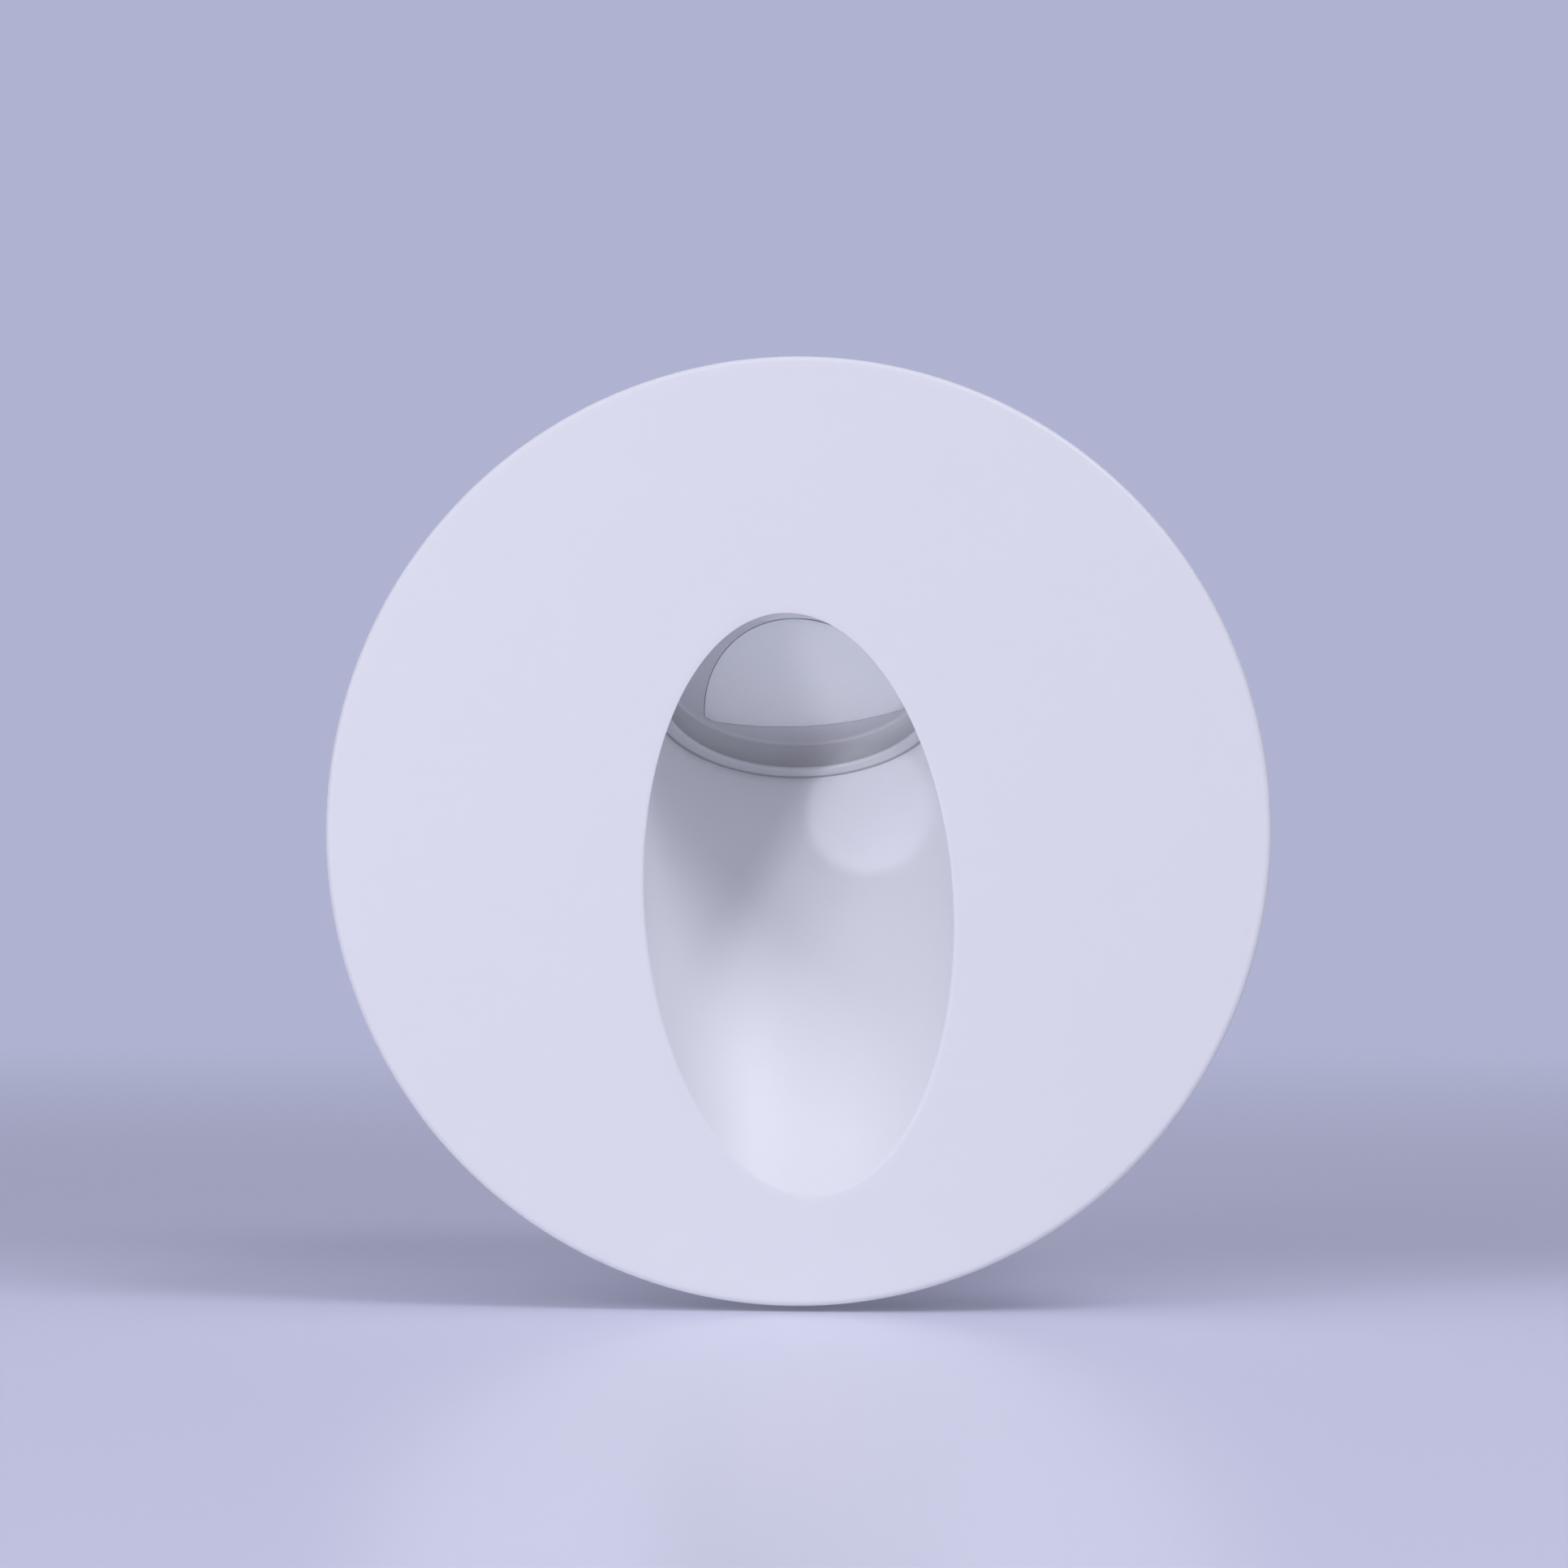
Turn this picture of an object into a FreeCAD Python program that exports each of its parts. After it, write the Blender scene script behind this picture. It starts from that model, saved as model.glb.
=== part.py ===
import FreeCAD, Part
import math
import os
import re

import Sketcher

# Recessed step light with a round face plate and a slanted light bore.
#
# Frame: the origin is the centre of the face plate's rear side, where it meets the wall.
# +Y points into the wall, +Z is up and +X is to the right as seen from the front.
# Three kinds of frame place the pieces:
#   WALL   local Z runs into the wall, for all that is turned about the lamp's main axis
#   LIGHT  local Z runs up the slanted bore, from the middle of its mouth to the lamp
#   RIGHT and LEFT  at the side clips, with local X pointing away from the body

doc = FreeCAD.newDocument("step_light")
sizes = doc.addObject("Spreadsheet::Sheet", "sizes")

DIMENSIONS = [
    # face plate
    ("face_thickness", 3.0, "thickness of the face plate"),
    ("face_edge_radius", 0.5, "rounding of the plate's front edge"),
    ("face_back_radius", 0.4, "rounding of the plate's rear edge"),
    ("seat_height", 0.6, "raised seat behind the plate that enters the wall hole"),
    ("seat_margin", 0.9, "seat's radius beyond the housing's"),
    ("spigot_wall", 1.7, "rim that centres the housing"),
    ("spigot_gap", 0.4, "room between that rim and the clip pockets"),
    ("gasket_width", 5.0, "width of the wall gasket's groove"),
    ("face_rim", 1.6, "solid rim of the plate outside the gasket"),
    ("gasket_thickness", 1.0, "thickness of the pressed wall gasket"),
    ("gasket_gap", 0.2, "room round the wall gasket"),
    # slanted light bore
    ("opening_drop", 6.3, "middle of the bore's mouth below the plate's centre"),
    ("light_tilt", 32.0, "angle between the bore's axis and the wall, in degrees"),
    ("bore_radius", 13.0, "radius of the light bore"),
    ("roof_gap", 0.92, "room between the socket's top corner and the housing's roof"),
    ("socket_step", 0.6, "step from the bore to the wider lamp socket"),
    ("socket_wall", 1.3, "wall round the lamp socket"),
    ("socket_gap", 0.15, "room between the socket and what slides into it"),
    # what the socket holds, from the bore upwards
    ("seal_thickness", 0.3, "wall of the lens seal, a sleeve in the bore"),
    ("seal_length", 2.0, "length of that sleeve"),
    ("ring_thickness", 0.3, "lens ring"),
    ("ring_width", 1.0, "width of the lens ring"),
    ("ring_rounding", 0.15, "rounding of the ring's inner edge"),
    ("cup_depth", 2.5, "depth of the cup's floor behind the ring"),
    ("cup_cove", 0.3, "curve between the cup's wall and its floor"),
    ("cup_lip", 0.6, "thickness of the cup's floor, which holds the lens"),
    ("cup_wall", 1.65, "wall of the cup round the lens's flange"),
    ("shoulder_gap", 0.1, "room between the socket's shoulder and the cup"),
    ("window_radius", 9.2, "window in the cup's floor, which looks round from the front"),
    ("window_level", 9.0, "middle of that round above the plate's centre"),
    ("window_foot", 8.95, "foot of the window, from the light's axis"),
    ("window_foot_radius", 21.5, "shallow curve of that foot"),
    ("window_limit", 11.1, "the window's corners end at this radius"),
    ("lens_gap", 0.1, "room round the lens"),
    ("lens_thickness", 1.8, "flange of the lens"),
    ("reflector_height", 5.4, "reflector behind the lens"),
    ("reflector_gap", 0.2, "room between the reflector and the board screws"),
    ("reflector_edge", 0.8, "wall at the reflector's mouth"),
    ("reflector_narrow", 3.4, "reflector's hole round the chip"),
    ("chip_width", 4.4, "side of the light chip's base"),
    ("chip_thickness", 0.7, "light chip's base"),
    ("chip_dome", 1.6, "radius of the chip's silicone dome"),
    ("chip_crown", 0.9, "rise of that dome"),
    ("board_thickness", 1.2, "metal-cored board of the lamp"),
    ("pad_thickness", 0.4, "thermal pad"),
    ("pad_gap", 0.15, "room between the thermal pad and the board screws"),
    ("board_screw_inset", 2.35, "board screws inside the board's edge"),
    ("board_screw_radius", 0.95, "shank of the board screws"),
    ("board_screw_length", 3.4, "board screws' grip in the spreader"),
    ("small_head_radius", 1.7, "head of the small screws"),
    ("small_head_height", 1.2, "height of those heads"),
    ("thread_gap", 0.05, "room round a screw or pin in its hole"),
    # heat spreader and its screws
    ("spreader_gap", 0.2, "room between the spreader and the housing's roof"),
    ("spreader_height", 12.0, "length of the spreader along the light's axis"),
    ("ear_thickness", 2.6, "ears of the spreader"),
    ("ear_radius", 2.8, "rounded ends of the ears"),
    ("ear_stand", 0.9, "ear screws outside the socket's wall, to each side"),
    ("ear_drop", 5.0, "ear screws below the light's axis"),
    ("ear_boss_radius", 2.4, "bosses on the socket for the ear screws"),
    ("ear_boss_length", 9.4, "length of those bosses"),
    ("ear_screw_radius", 1.2, "shank of the ear screws"),
    ("ear_screw_length", 8.0, "ear screws under their heads"),
    ("ear_head_radius", 2.2, "head of the ear screws"),
    ("ear_head_height", 1.6, "height of those heads"),
    ("lead_slot_start", 10.4, "slot for the lamp's leads, from the axis"),
    ("lead_slot_half", 3.4, "half the slot's width"),
    ("lead_radius", 0.6, "insulated lead"),
    ("lead_spacing", 3.0, "between the two leads"),
    ("lead_rise", 4.2, "leads' rise from the lamp's board"),
    ("lead_depth", 1.5, "leads inside the slot"),
    # housing
    ("body_seal_thickness", 0.8, "seal between plate and housing"),
    ("housing_radius", 32.5, "outer radius of the housing"),
    ("housing_wall", 2.0, "wall of the housing's front chamber"),
    ("rear_depth", 10.5, "depth of the driver chamber behind the shelf"),
    ("shelf_gap", 2.37, "room between the socket's rear corner and the shelf"),
    ("shelf_thickness", 2.0, "thickness of the shelf"),
    ("shelf_width", 7.7, "shelf's hole inside the housing's radius"),
    ("rear_wall", 4.5, "wall of the driver chamber"),
    ("slot_count", 24.0, "cooling slots round the housing"),
    ("slot_width", 3.4, "width of a cooling slot"),
    ("slot_depth", 2.6, "depth of a cooling slot"),
    ("slot_offset", 1.5, "cooling slots start this far behind the shelf"),
    ("slot_rim", 2.0, "solid rim behind the cooling slots"),
    ("post_inset", 3.9, "posts for the housing screws inside the chamber's radius"),
    ("post_angle", 30.0, "angle of the posts above and below the middle, in degrees"),
    ("post_radius", 3.0, "radius of a post"),
    ("housing_screw_radius", 1.45, "shank of the housing screws"),
    ("housing_screw_length", 14.0, "housing screws under their heads"),
    ("housing_head_radius", 2.6, "head of the housing screws"),
    ("housing_head_height", 2.0, "height of those heads"),
    ("well_radius", 2.9, "wells that let the housing screws in"),
    # clip pockets in the housing
    ("pocket_depth", 3.8, "depth of the clip pockets"),
    ("pocket_room", 2.1, "pocket above and below the bracket"),
    ("pocket_front", 6.0, "front end of the pockets"),
    ("pocket_stop", 2.0, "pockets end this far before the shelf"),
    ("pocket_wall", 1.8, "wall behind the pockets"),
    # rear cover
    ("cover_seal_thickness", 0.6, "seal under the rear cover"),
    ("cover_seal_width", 4.1, "width of that seal, from the housing's radius"),
    ("cover_thickness", 2.5, "thickness of the rear cover"),
    ("cover_edge", 0.8, "bevel of the cover's rear edge"),
    ("cover_screw_inset", 2.1, "cover screws inside the housing's radius"),
    ("cover_screw_radius", 1.0, "shank of the cover screws"),
    ("cover_screw_length", 8.0, "cover screws under their heads"),
    ("cover_head_radius", 1.9, "head of the cover screws"),
    ("cover_head_height", 1.4, "height of those heads"),
    # driver
    ("driver_gap", 1.5, "driver board behind the shelf"),
    ("driver_board_thickness", 1.6, "driver board"),
    ("driver_edge_gap", 1.0, "driver board's edge inside the shelf's hole"),
    ("driver_post_inset", 3.8, "cover's posts inside the driver board's edge"),
    ("driver_post_radius", 2.5, "radius of those posts"),
    ("driver_screw_length", 5.0, "driver screws under their heads"),
    ("transformer_width", 12.0, "transformer, across"),
    ("transformer_height", 9.5, "transformer, from the board"),
    ("transformer_length", 11.0, "transformer, up and down"),
    ("transformer_side", -2.0, "transformer's side nearest the middle"),
    ("transformer_drop", 4.0, "transformer below the middle"),
    ("transformer_flange", 0.5, "base wider than the core"),
    ("transformer_foot", 1.5, "height of the base"),
    ("input_capacitor_radius", 4.0, "input capacitor"),
    ("input_capacitor_length", 10.0, "its length"),
    ("input_capacitor_inset", 11.8, "its place inside the board's right edge"),
    ("input_capacitor_z", -9.0, "its place up"),
    ("output_capacitor_radius", 3.0, "output capacitor"),
    ("output_capacitor_length", 8.0, "its length"),
    ("output_capacitor_inset", 10.3, "its place inside the board's right edge"),
    ("output_capacitor_z", 1.5, "its place up"),
    ("choke_radius", 3.4, "choke"),
    ("choke_length", 6.5, "its length"),
    ("choke_inset", 8.8, "its place inside the board's left edge"),
    ("choke_z", -2.0, "its place up"),
    ("can_rounding", 0.5, "rounding of those three"),
    ("driver_chip_width", 6.0, "driver chip, on the board's rear side"),
    ("driver_chip_length", 5.0, "its length"),
    ("driver_chip_height", 1.6, "its height"),
    ("driver_chip_x", 8.0, "its left side"),
    ("driver_chip_z", 1.0, "its lower side"),
    ("terminal_width", 11.0, "terminal block, across"),
    ("terminal_height", 5.6, "terminal block, from the board"),
    ("terminal_depth", 7.5, "terminal block, up and down"),
    ("terminal_mouth", 2.8, "side of a terminal's mouth"),
    ("terminal_gap", 0.5, "terminal block above the cover's lower post"),
    # cable gland
    ("gland_thread_wall", 1.1, "wall of the cable gland's thread round its seal"),
    ("gland_bore_step", 0.5, "gland's passage wider than its seal"),
    ("gland_inner_length", 3.6, "thread inside the cover"),
    ("gland_washer_thickness", 0.6, "washer under the gland's collar"),
    ("gland_collar_height", 4.0, "hexagonal collar of the gland"),
    ("gland_collar_wall", 2.4, "collar's corners outside the thread"),
    ("seal_proud", 0.5, "seal longer than the thread round it"),
    ("gland_seal_radius", 3.1, "hole in the rubber seal, for a 6 mm cable"),
    ("gland_seal_wall", 1.7, "wall of the rubber seal"),
    ("gland_seal_length", 6.5, "length of the rubber seal"),
    ("seal_start", 0.4, "rubber seal behind the collar's rear side"),
    ("cap_start", 0.2, "dome nut behind the collar's rear side"),
    ("gland_cap_wall", 1.6, "dome nut's corners outside the thread"),
    ("gland_cap_room", 0.5, "room for the seal in the dome nut"),
    ("gland_cap_roof", 1.4, "end wall of the dome nut"),
    ("gland_dome_height", 3.6, "height of the dome nut's rounded end"),
    ("gland_dome_curve", 5.5, "radius of that rounding"),
    ("gland_dome_rim", 1.2, "flat rim round the dome nut's hole"),
    ("gland_cap_step", 0.2, "dome nut's hole wider than the seal's"),
    ("locknut_wall", 2.0, "locknut's corners outside the thread"),
    ("locknut_height", 2.6, "height of the locknut"),
    # wall clips
    ("pivot_stand", 3.0, "clip's pivot above the pocket's floor"),
    ("pivot_behind", 8.0, "clip's pivot behind the pocket's front"),
    ("rest_angle", 62.0, "free arm's lean from outwards to the plate, in degrees"),
    ("pin_radius", 0.9, "pivot pin"),
    ("pin_head_radius", 1.5, "rivet heads of the pin"),
    ("pin_head_height", 0.5, "height of the rivet heads"),
    ("bracket_gauge", 0.8, "sheet of the bracket"),
    ("bracket_inset", 0.6, "bracket behind the pocket's front"),
    ("bracket_tail", 3.0, "bracket behind the pivot"),
    ("bracket_half", 5.4, "half the height of the bracket's base"),
    ("arm_play", 0.4, "room between the arm and the bracket's ears"),
    ("bracket_ear_radius", 1.9, "rounded end of a bracket ear"),
    ("bracket_screw_inset", 1.9, "bracket screws behind the bracket's front"),
    ("bracket_screw_side", 3.2, "bracket screws above and below the middle"),
    ("bracket_screw_length", 2.2, "bracket screws under their heads"),
    ("arm_gauge", 0.8, "sheet of the clip arm"),
    ("arm_half", 3.2, "half the width of the arm"),
    ("arm_start", 2.8, "arm's blade starts this far from the pin"),
    ("arm_end", 10.8, "arm's blade ends this far from the pin"),
    ("knuckle_radius", 1.9, "knuckles of the arm"),
    ("knuckle_width", 1.0, "width of each knuckle"),
    ("sleeve_start", 5.4, "rubber sleeve starts this far from the pin"),
    ("sleeve_wall", 0.85, "wall of the rubber sleeve"),
    ("sleeve_gap", 0.05, "room between the sleeve and the blade"),
    ("sleeve_tip", 0.8, "closed end of the sleeve"),
    ("spring_wire", 0.27, "radius of the spring's wire"),
    ("spring_coil", 1.35, "mean radius of the spring's coil"),
    ("spring_room", 0.11, "room between the spring's coil and the arm's knuckles"),
    ("spring_turns", 3.0, "whole turns of the spring"),
    ("spring_leg", 3.6, "length of the spring's legs"),
]

for row, (name, amount, meaning) in enumerate(DIMENSIONS, start=1):
    sizes.set(f"A{row}", name)
    sizes.set(f"B{row}", str(amount))
    sizes.set(f"C{row}", meaning)
    sizes.setAlias(f"B{row}", name)
doc.recompute()

NAMES = {name for name, _, _ in DIMENSIONS}
# positions that several pieces share, worked out from the driving sizes
STATIONS = {
    # radii about the main axis
    "seat_radius": "(housing_radius + seat_margin)",
    "gasket_radius": "(seat_radius + gasket_width)",
    "face_radius": "(gasket_radius + face_rim)",
    "housing_inner": "(housing_radius - housing_wall)",
    "post_circle": "(housing_inner - post_inset)",
    "shelf_radius": "(housing_radius - shelf_width)",
    "rear_chamber_radius": "(housing_radius - rear_wall)",
    "cover_seal_inner": "(housing_radius - cover_seal_width)",
    "cover_screw_circle": "(housing_radius - cover_screw_inset)",
    "driver_board_radius": "(shelf_radius - driver_edge_gap)",
    "driver_post_circle": "(driver_board_radius - driver_post_inset)",
    "pocket_floor": "(housing_radius - pocket_depth)",
    "bracket_top": "(pocket_floor + bracket_gauge)",
    "pivot_out": "(pocket_floor + pivot_stand)",
    "gland_seal_outer": "(gland_seal_radius + gland_seal_wall)",
    "gland_thread_radius": "(gland_seal_outer + thread_gap * 2 + gland_thread_wall)",
    "gland_bore_radius": "(gland_seal_radius + gland_bore_step)",
    # radii about the light's axis
    "socket_radius": "(bore_radius + socket_step)",
    "socket_outer": "(socket_radius + socket_wall)",
    "cartridge_radius": "(socket_radius - socket_gap)",
    "board_screw_offset": "(cartridge_radius - board_screw_inset)",
    "reflector_radius": "(board_screw_offset - small_head_radius - reflector_gap)",
    "pad_radius": "(board_screw_offset - board_screw_radius - pad_gap)",
    "ear_offset": "(socket_outer + ear_stand)",
    "ring_outer": "(bore_radius - seal_thickness)",
    "ring_inner": "(ring_outer - ring_width)",
    # along the light's axis: the lamp sits as high as the housing's roof allows
    "socket_room": "(housing_inner - roof_gap + opening_drop)",
    "socket_rise": "(socket_room - socket_outer * sin(light_tilt * 1deg))",
    "board_back": "(socket_rise / cos(light_tilt * 1deg))",
    "board_front": "(board_back - board_thickness)",
    "lens_back": "(board_front - reflector_height)",
    "lens_front": "(lens_back - lens_thickness)",
    "cup_floor": "(lens_front - cup_lip)",
    "cup_front": "(cup_floor - cup_depth)",
    "ring_front": "(cup_front - ring_thickness)",
    "bore_length": "(lens_front - shoulder_gap)",
    "spreader_seat": "(board_back + pad_thickness)",
    "ear_back": "(spreader_seat + ear_thickness)",
    # along the main axis, from the wall plane inwards
    "housing_front": "(seat_height + body_seal_thickness)",
    "spigot_end": "(pocket_front - pocket_wall - spigot_gap)",
    "socket_corner": "(socket_outer * cos(light_tilt * 1deg) + board_back * sin(light_tilt * 1deg))",
    "shelf_front": "(socket_corner - face_thickness + shelf_gap)",
    "shelf_back": "(shelf_front + shelf_thickness)",
    "slot_front": "(shelf_back + slot_offset)",
    "housing_back": "(shelf_back + rear_depth)",
    "cover_front": "(housing_back + cover_seal_thickness)",
    "cover_back": "(cover_front + cover_thickness)",
    "driver_front": "(shelf_back + driver_gap)",
    "driver_back": "(driver_front + driver_board_thickness)",
    "collar_front": "(cover_back + gland_washer_thickness)",
    "collar_back": "(collar_front + gland_collar_height)",
    "gland_outer_length": "(gland_seal_length - seal_proud)",
    "gland_cap_length": "(gland_seal_length + gland_cap_room + gland_cap_roof)",
    "pivot_depth": "(pocket_front + pivot_behind)",
    "pocket_back": "(shelf_front - pocket_stop)",
    "pocket_half": "(bracket_half + pocket_room)",
    "bracket_front": "(pocket_front + bracket_inset)",
    "bracket_back": "(pivot_depth + bracket_tail)",
    "bracket_screw_depth": "(bracket_front + bracket_screw_inset)",
    "ear_inside": "(arm_half + arm_play)",
    "spring_rise": "(2 * (arm_half - knuckle_width - spring_wire - spring_room))",
    # places of the driver's parts
    "input_capacitor_x": "(driver_board_radius - input_capacitor_inset)",
    "output_capacitor_x": "(driver_board_radius - output_capacitor_inset)",
    "choke_x": "(choke_inset - driver_board_radius)",
}
WORD = re.compile(r"[a-z][a-z0-9_]*")


def formula(text):
    """A formula in plain size names, as the sheet's expressions need it."""

    def replace(word):
        if word.group() in STATIONS:
            return formula(STATIONS[word.group()])
        if word.group() in NAMES:
            return "sizes." + word.group()
        return word.group()

    return WORD.sub(replace, str(text))


def amount_of(text):
    """The number that a formula gives."""
    return float(sizes.evalExpression(formula(text)))


def bind(thing, **properties):
    for prop, text in properties.items():
        thing.setExpression(prop, formula(text))


TILT = "(light_tilt * 1deg)"
# each frame: its turning axis, its angle and the world X, Y, Z of a local point
WORLD = ((0, 0, 1), "0", ("{x}", "{y}", "{z}"))
WALL = ((-1, 0, 0), "90", ("{x}", "{z}", "-({y})"))
LIGHT = (
    (-1, 0, 0),
    "light_tilt",
    (
        "{x}",
        "-face_thickness + ({y}) * cos" + TILT + " + ({z}) * sin" + TILT,
        "-opening_drop - ({y}) * sin" + TILT + " + ({z}) * cos" + TILT,
    ),
)
RIGHT = WORLD
LEFT = ((0, 1, 0), "180", ("-({x})", "{y}", "-({z})"))


def place(thing, frame, x="0", y="0", z="0"):
    """Bind a piece's placement to a point of one of the frames."""
    axis, angle, (world_x, world_y, world_z) = frame
    point = {"x": x, "y": y, "z": z}
    start = FreeCAD.Rotation(FreeCAD.Vector(*axis), amount_of(angle))
    thing.Placement = FreeCAD.Placement(FreeCAD.Vector(), start)
    if angle != "0":
        thing.setExpression("Placement.Rotation.Angle", formula(f"({angle}) * 1deg"))
    thing.setExpression("Placement.Base.x", formula(world_x.format(**point)))
    thing.setExpression("Placement.Base.y", formula(world_y.format(**point)))
    thing.setExpression("Placement.Base.z", formula(world_z.format(**point)))
    return thing


def origin_plane(body, role):
    return next(item for item in body.Origin.OriginFeatures if item.Role == role)


def arc_between(start, end, radius, side):
    """The short arc from start to end; side is 1 where it turns left and -1 where it turns right."""
    chord = end - start
    rise = math.sqrt(max(radius**2 - (chord.Length / 2) ** 2, 0.0))
    left = FreeCAD.Vector(-chord.y, chord.x, 0).normalize()
    centre = (start + end) * 0.5 + left * (side * rise)
    angles = [math.atan2((p - centre).y, (p - centre).x) for p in (start, end)]
    circle = Part.Circle(centre, FreeCAD.Vector(0, 0, 1), radius)
    return Part.ArcOfCircle(circle, angles[side == -1], angles[side == 1])


def draw(sketch, corners):
    """A closed outline: each corner is (x, y), or (x, y, radius, side) where an arc follows it."""
    points = [FreeCAD.Vector(amount_of(c[0]), amount_of(c[1]), 0) for c in corners]
    firsts = []
    lasts = []
    for i, corner in enumerate(corners):
        start, end = points[i], points[(i + 1) % len(points)]
        if len(corner) == 2:
            sketch.addGeometry(Part.LineSegment(start, end))
            turned_back = False
        else:
            side = corner[3]
            sketch.addGeometry(arc_between(start, end, amount_of(corner[2]), side))
            turned_back = side == -1
        firsts.append((i, 2 if turned_back else 1))
        lasts.append((i, 1 if turned_back else 2))
    for i, corner in enumerate(corners):
        following = firsts[(i + 1) % len(corners)]
        sketch.addConstraint(Sketcher.Constraint("Coincident", *lasts[i], *following))
    for i, corner in enumerate(corners):
        for kind, axis, text in (("X", -2, corner[0]), ("Y", -1, corner[1])):
            if text == "0":
                sketch.addConstraint(Sketcher.Constraint("PointOnObject", *firsts[i], axis))
                continue
            value = amount_of(text)
            number = sketch.addConstraint(
                Sketcher.Constraint("Distance" + kind, -1, 1, *firsts[i], value)
            )
            sketch.renameConstraint(number, f"{kind.lower()}{i}")
            sketch.setExpression(f"Constraints.{kind.lower()}{i}", formula(text))
        if len(corner) > 2:
            number = sketch.addConstraint(
                Sketcher.Constraint("Radius", i, amount_of(corner[2]))
            )
            sketch.renameConstraint(number, f"radius{i}")
            sketch.setExpression(f"Constraints.radius{i}", formula(corner[2]))


def crown_curve(half_width, rise):
    """The radius of a shallow crown from its half width and its rise."""
    return f"(({half_width})^2 + ({rise})^2) / (2 * ({rise}))"


def new_sketch(body, role, title, corners):
    sketch = body.newObject("Sketcher::SketchObject", title)
    sketch.AttachmentSupport = [(origin_plane(body, role), "")]
    sketch.MapMode = "FlatFace"
    draw(sketch, corners)
    return sketch


def turned(name, corners):
    """A body turned about its own Z axis, from corners of (radius, height)."""
    body = doc.addObject("PartDesign::Body", name)
    sketch = new_sketch(body, "XZ_Plane", name + "_outline", corners)
    turning = body.newObject("PartDesign::Revolution", name + "_turning")
    turning.Profile = sketch
    turning.ReferenceAxis = (sketch, ["V_Axis"])
    turning.Angle = 360
    sketch.Visibility = False
    return body


def washer(name, inner, outer, start, height):
    """A flat ring about its own Z axis."""
    end = f"{start} + {height}"
    return turned(name, [(inner, start), (outer, start), (outer, end), (inner, end)])


def rod(name, frame, radius, height, x="0", y="0", z="0"):
    """A cylinder along the frame's Z axis."""
    cylinder = doc.addObject("Part::Cylinder", name)
    bind(cylinder, Radius=radius, Height=height)
    return place(cylinder, frame, x, y, z)


def block(name, frame, low, size):
    """A box from its lowest corner and its three sizes."""
    box = doc.addObject("Part::Box", name)
    bind(box, Length=size[0], Width=size[1], Height=size[2])
    return place(box, frame, *low)


def hexagon(name, frame, corner_radius, height, z):
    prism = doc.addObject("Part::Prism", name)
    prism.Polygon = 6
    bind(prism, Circumradius=corner_radius, Height=height)
    return place(prism, frame, "0", "0", z)


def joined(name, parts):
    union = doc.addObject("Part::MultiFuse", name)
    union.Shapes = parts
    union.Refine = True
    return union


def less(name, base, tools):
    """base with the tools cut out of it."""
    result = doc.addObject("Part::Cut", name)
    result.Base = base
    result.Tool = tools[0] if len(tools) == 1 else joined(name + "_cuts", tools)
    result.Refine = True
    return result


def shared(name, first, second):
    overlap = doc.addObject("Part::Common", name)
    overlap.Base = first
    overlap.Tool = second
    return overlap


def group(name, parts):
    """Like fasteners that share one node, as separate solids."""
    together = doc.addObject("Part::Compound", name)
    together.Links = parts
    return together


def screw(name, frame, x, y, z, shank, length, head, head_height, towards=-1):
    """A pan-head screw with its head's seat at z; towards is the shank's way along Z."""
    start, end = ("-(" + length + ")", "0") if towards < 0 else ("0", length)
    top = head_height if towards < 0 else "-(" + head_height + ")"
    body = turned(
        name,
        [("0", end if towards > 0 else start), (shank, end if towards > 0 else start)]
        + [(shank, "0"), (head, "0"), (head, f"({top}) * 0.6"), (f"{head} * 0.7", top)]
        + [("0", top)],
    )
    return place(body, frame, x, y, z)


nodes = []


def node(thing):
    nodes.append(thing)
    return thing


# ---------------------------------------------------------------- face plate
# One casting: the round plate, the slanted bore with the lamp's socket, and the
# posts and bosses that the other pieces are screwed to.
SIDES = (("right", "1"), ("left", "-1"))
CORNERS = (("a", "1", "1"), ("b", "-1", "1"), ("c", "-1", "-1"), ("d", "1", "-1"))
POST_X = "post_circle * cos(post_angle * 1deg)"
POST_Z = "post_circle * sin(post_angle * 1deg)"

plate = turned(
    "face_plate_disc",
    [
        ("0", "-face_thickness"),
        ("face_radius - face_edge_radius", "-face_thickness", "face_edge_radius", 1),
        ("face_radius", "face_edge_radius - face_thickness"),
        ("face_radius", "-face_back_radius", "face_back_radius", 1),
        ("face_radius - face_back_radius", "0"),
        ("gasket_radius", "0"),
        ("gasket_radius", "-gasket_thickness"),
        ("seat_radius", "-gasket_thickness"),
        ("seat_radius", "seat_height"),
        ("housing_inner - gasket_gap", "seat_height"),
        ("housing_inner - gasket_gap", "spigot_end"),
        ("housing_inner - gasket_gap - spigot_wall", "spigot_end"),
        ("housing_inner - gasket_gap - spigot_wall", "seat_height"),
        ("0", "seat_height"),
    ],
)
place(plate, WALL)
tunnel = rod("tunnel", LIGHT, "socket_outer", "2 * board_back", z="-board_back")
posts = [
    rod(
        f"post_{tag}",
        WALL,
        "post_radius",
        "shelf_front - seat_height + 0.1",
        f"{across} * {POST_X}",
        f"{up} * {POST_Z}",
        "seat_height - 0.1",
    )
    for tag, across, up in CORNERS
]
ear_bosses = [
    rod(
        f"ear_boss_{tag}",
        LIGHT,
        "ear_boss_radius",
        "ear_boss_length",
        f"{across} * ear_offset",
        "ear_drop",
        "spreader_seat - ear_boss_length",
    )
    for tag, across in SIDES
]
casting = joined("face_plate_casting", [plate, tunnel] + posts + ear_bosses)
in_front = block(
    "face_plate_front",
    WORLD,
    ("-2 * face_radius", "-face_thickness - 2 * face_radius", "-2 * face_radius"),
    ("4 * face_radius", "2 * face_radius", "4 * face_radius"),
)
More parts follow.
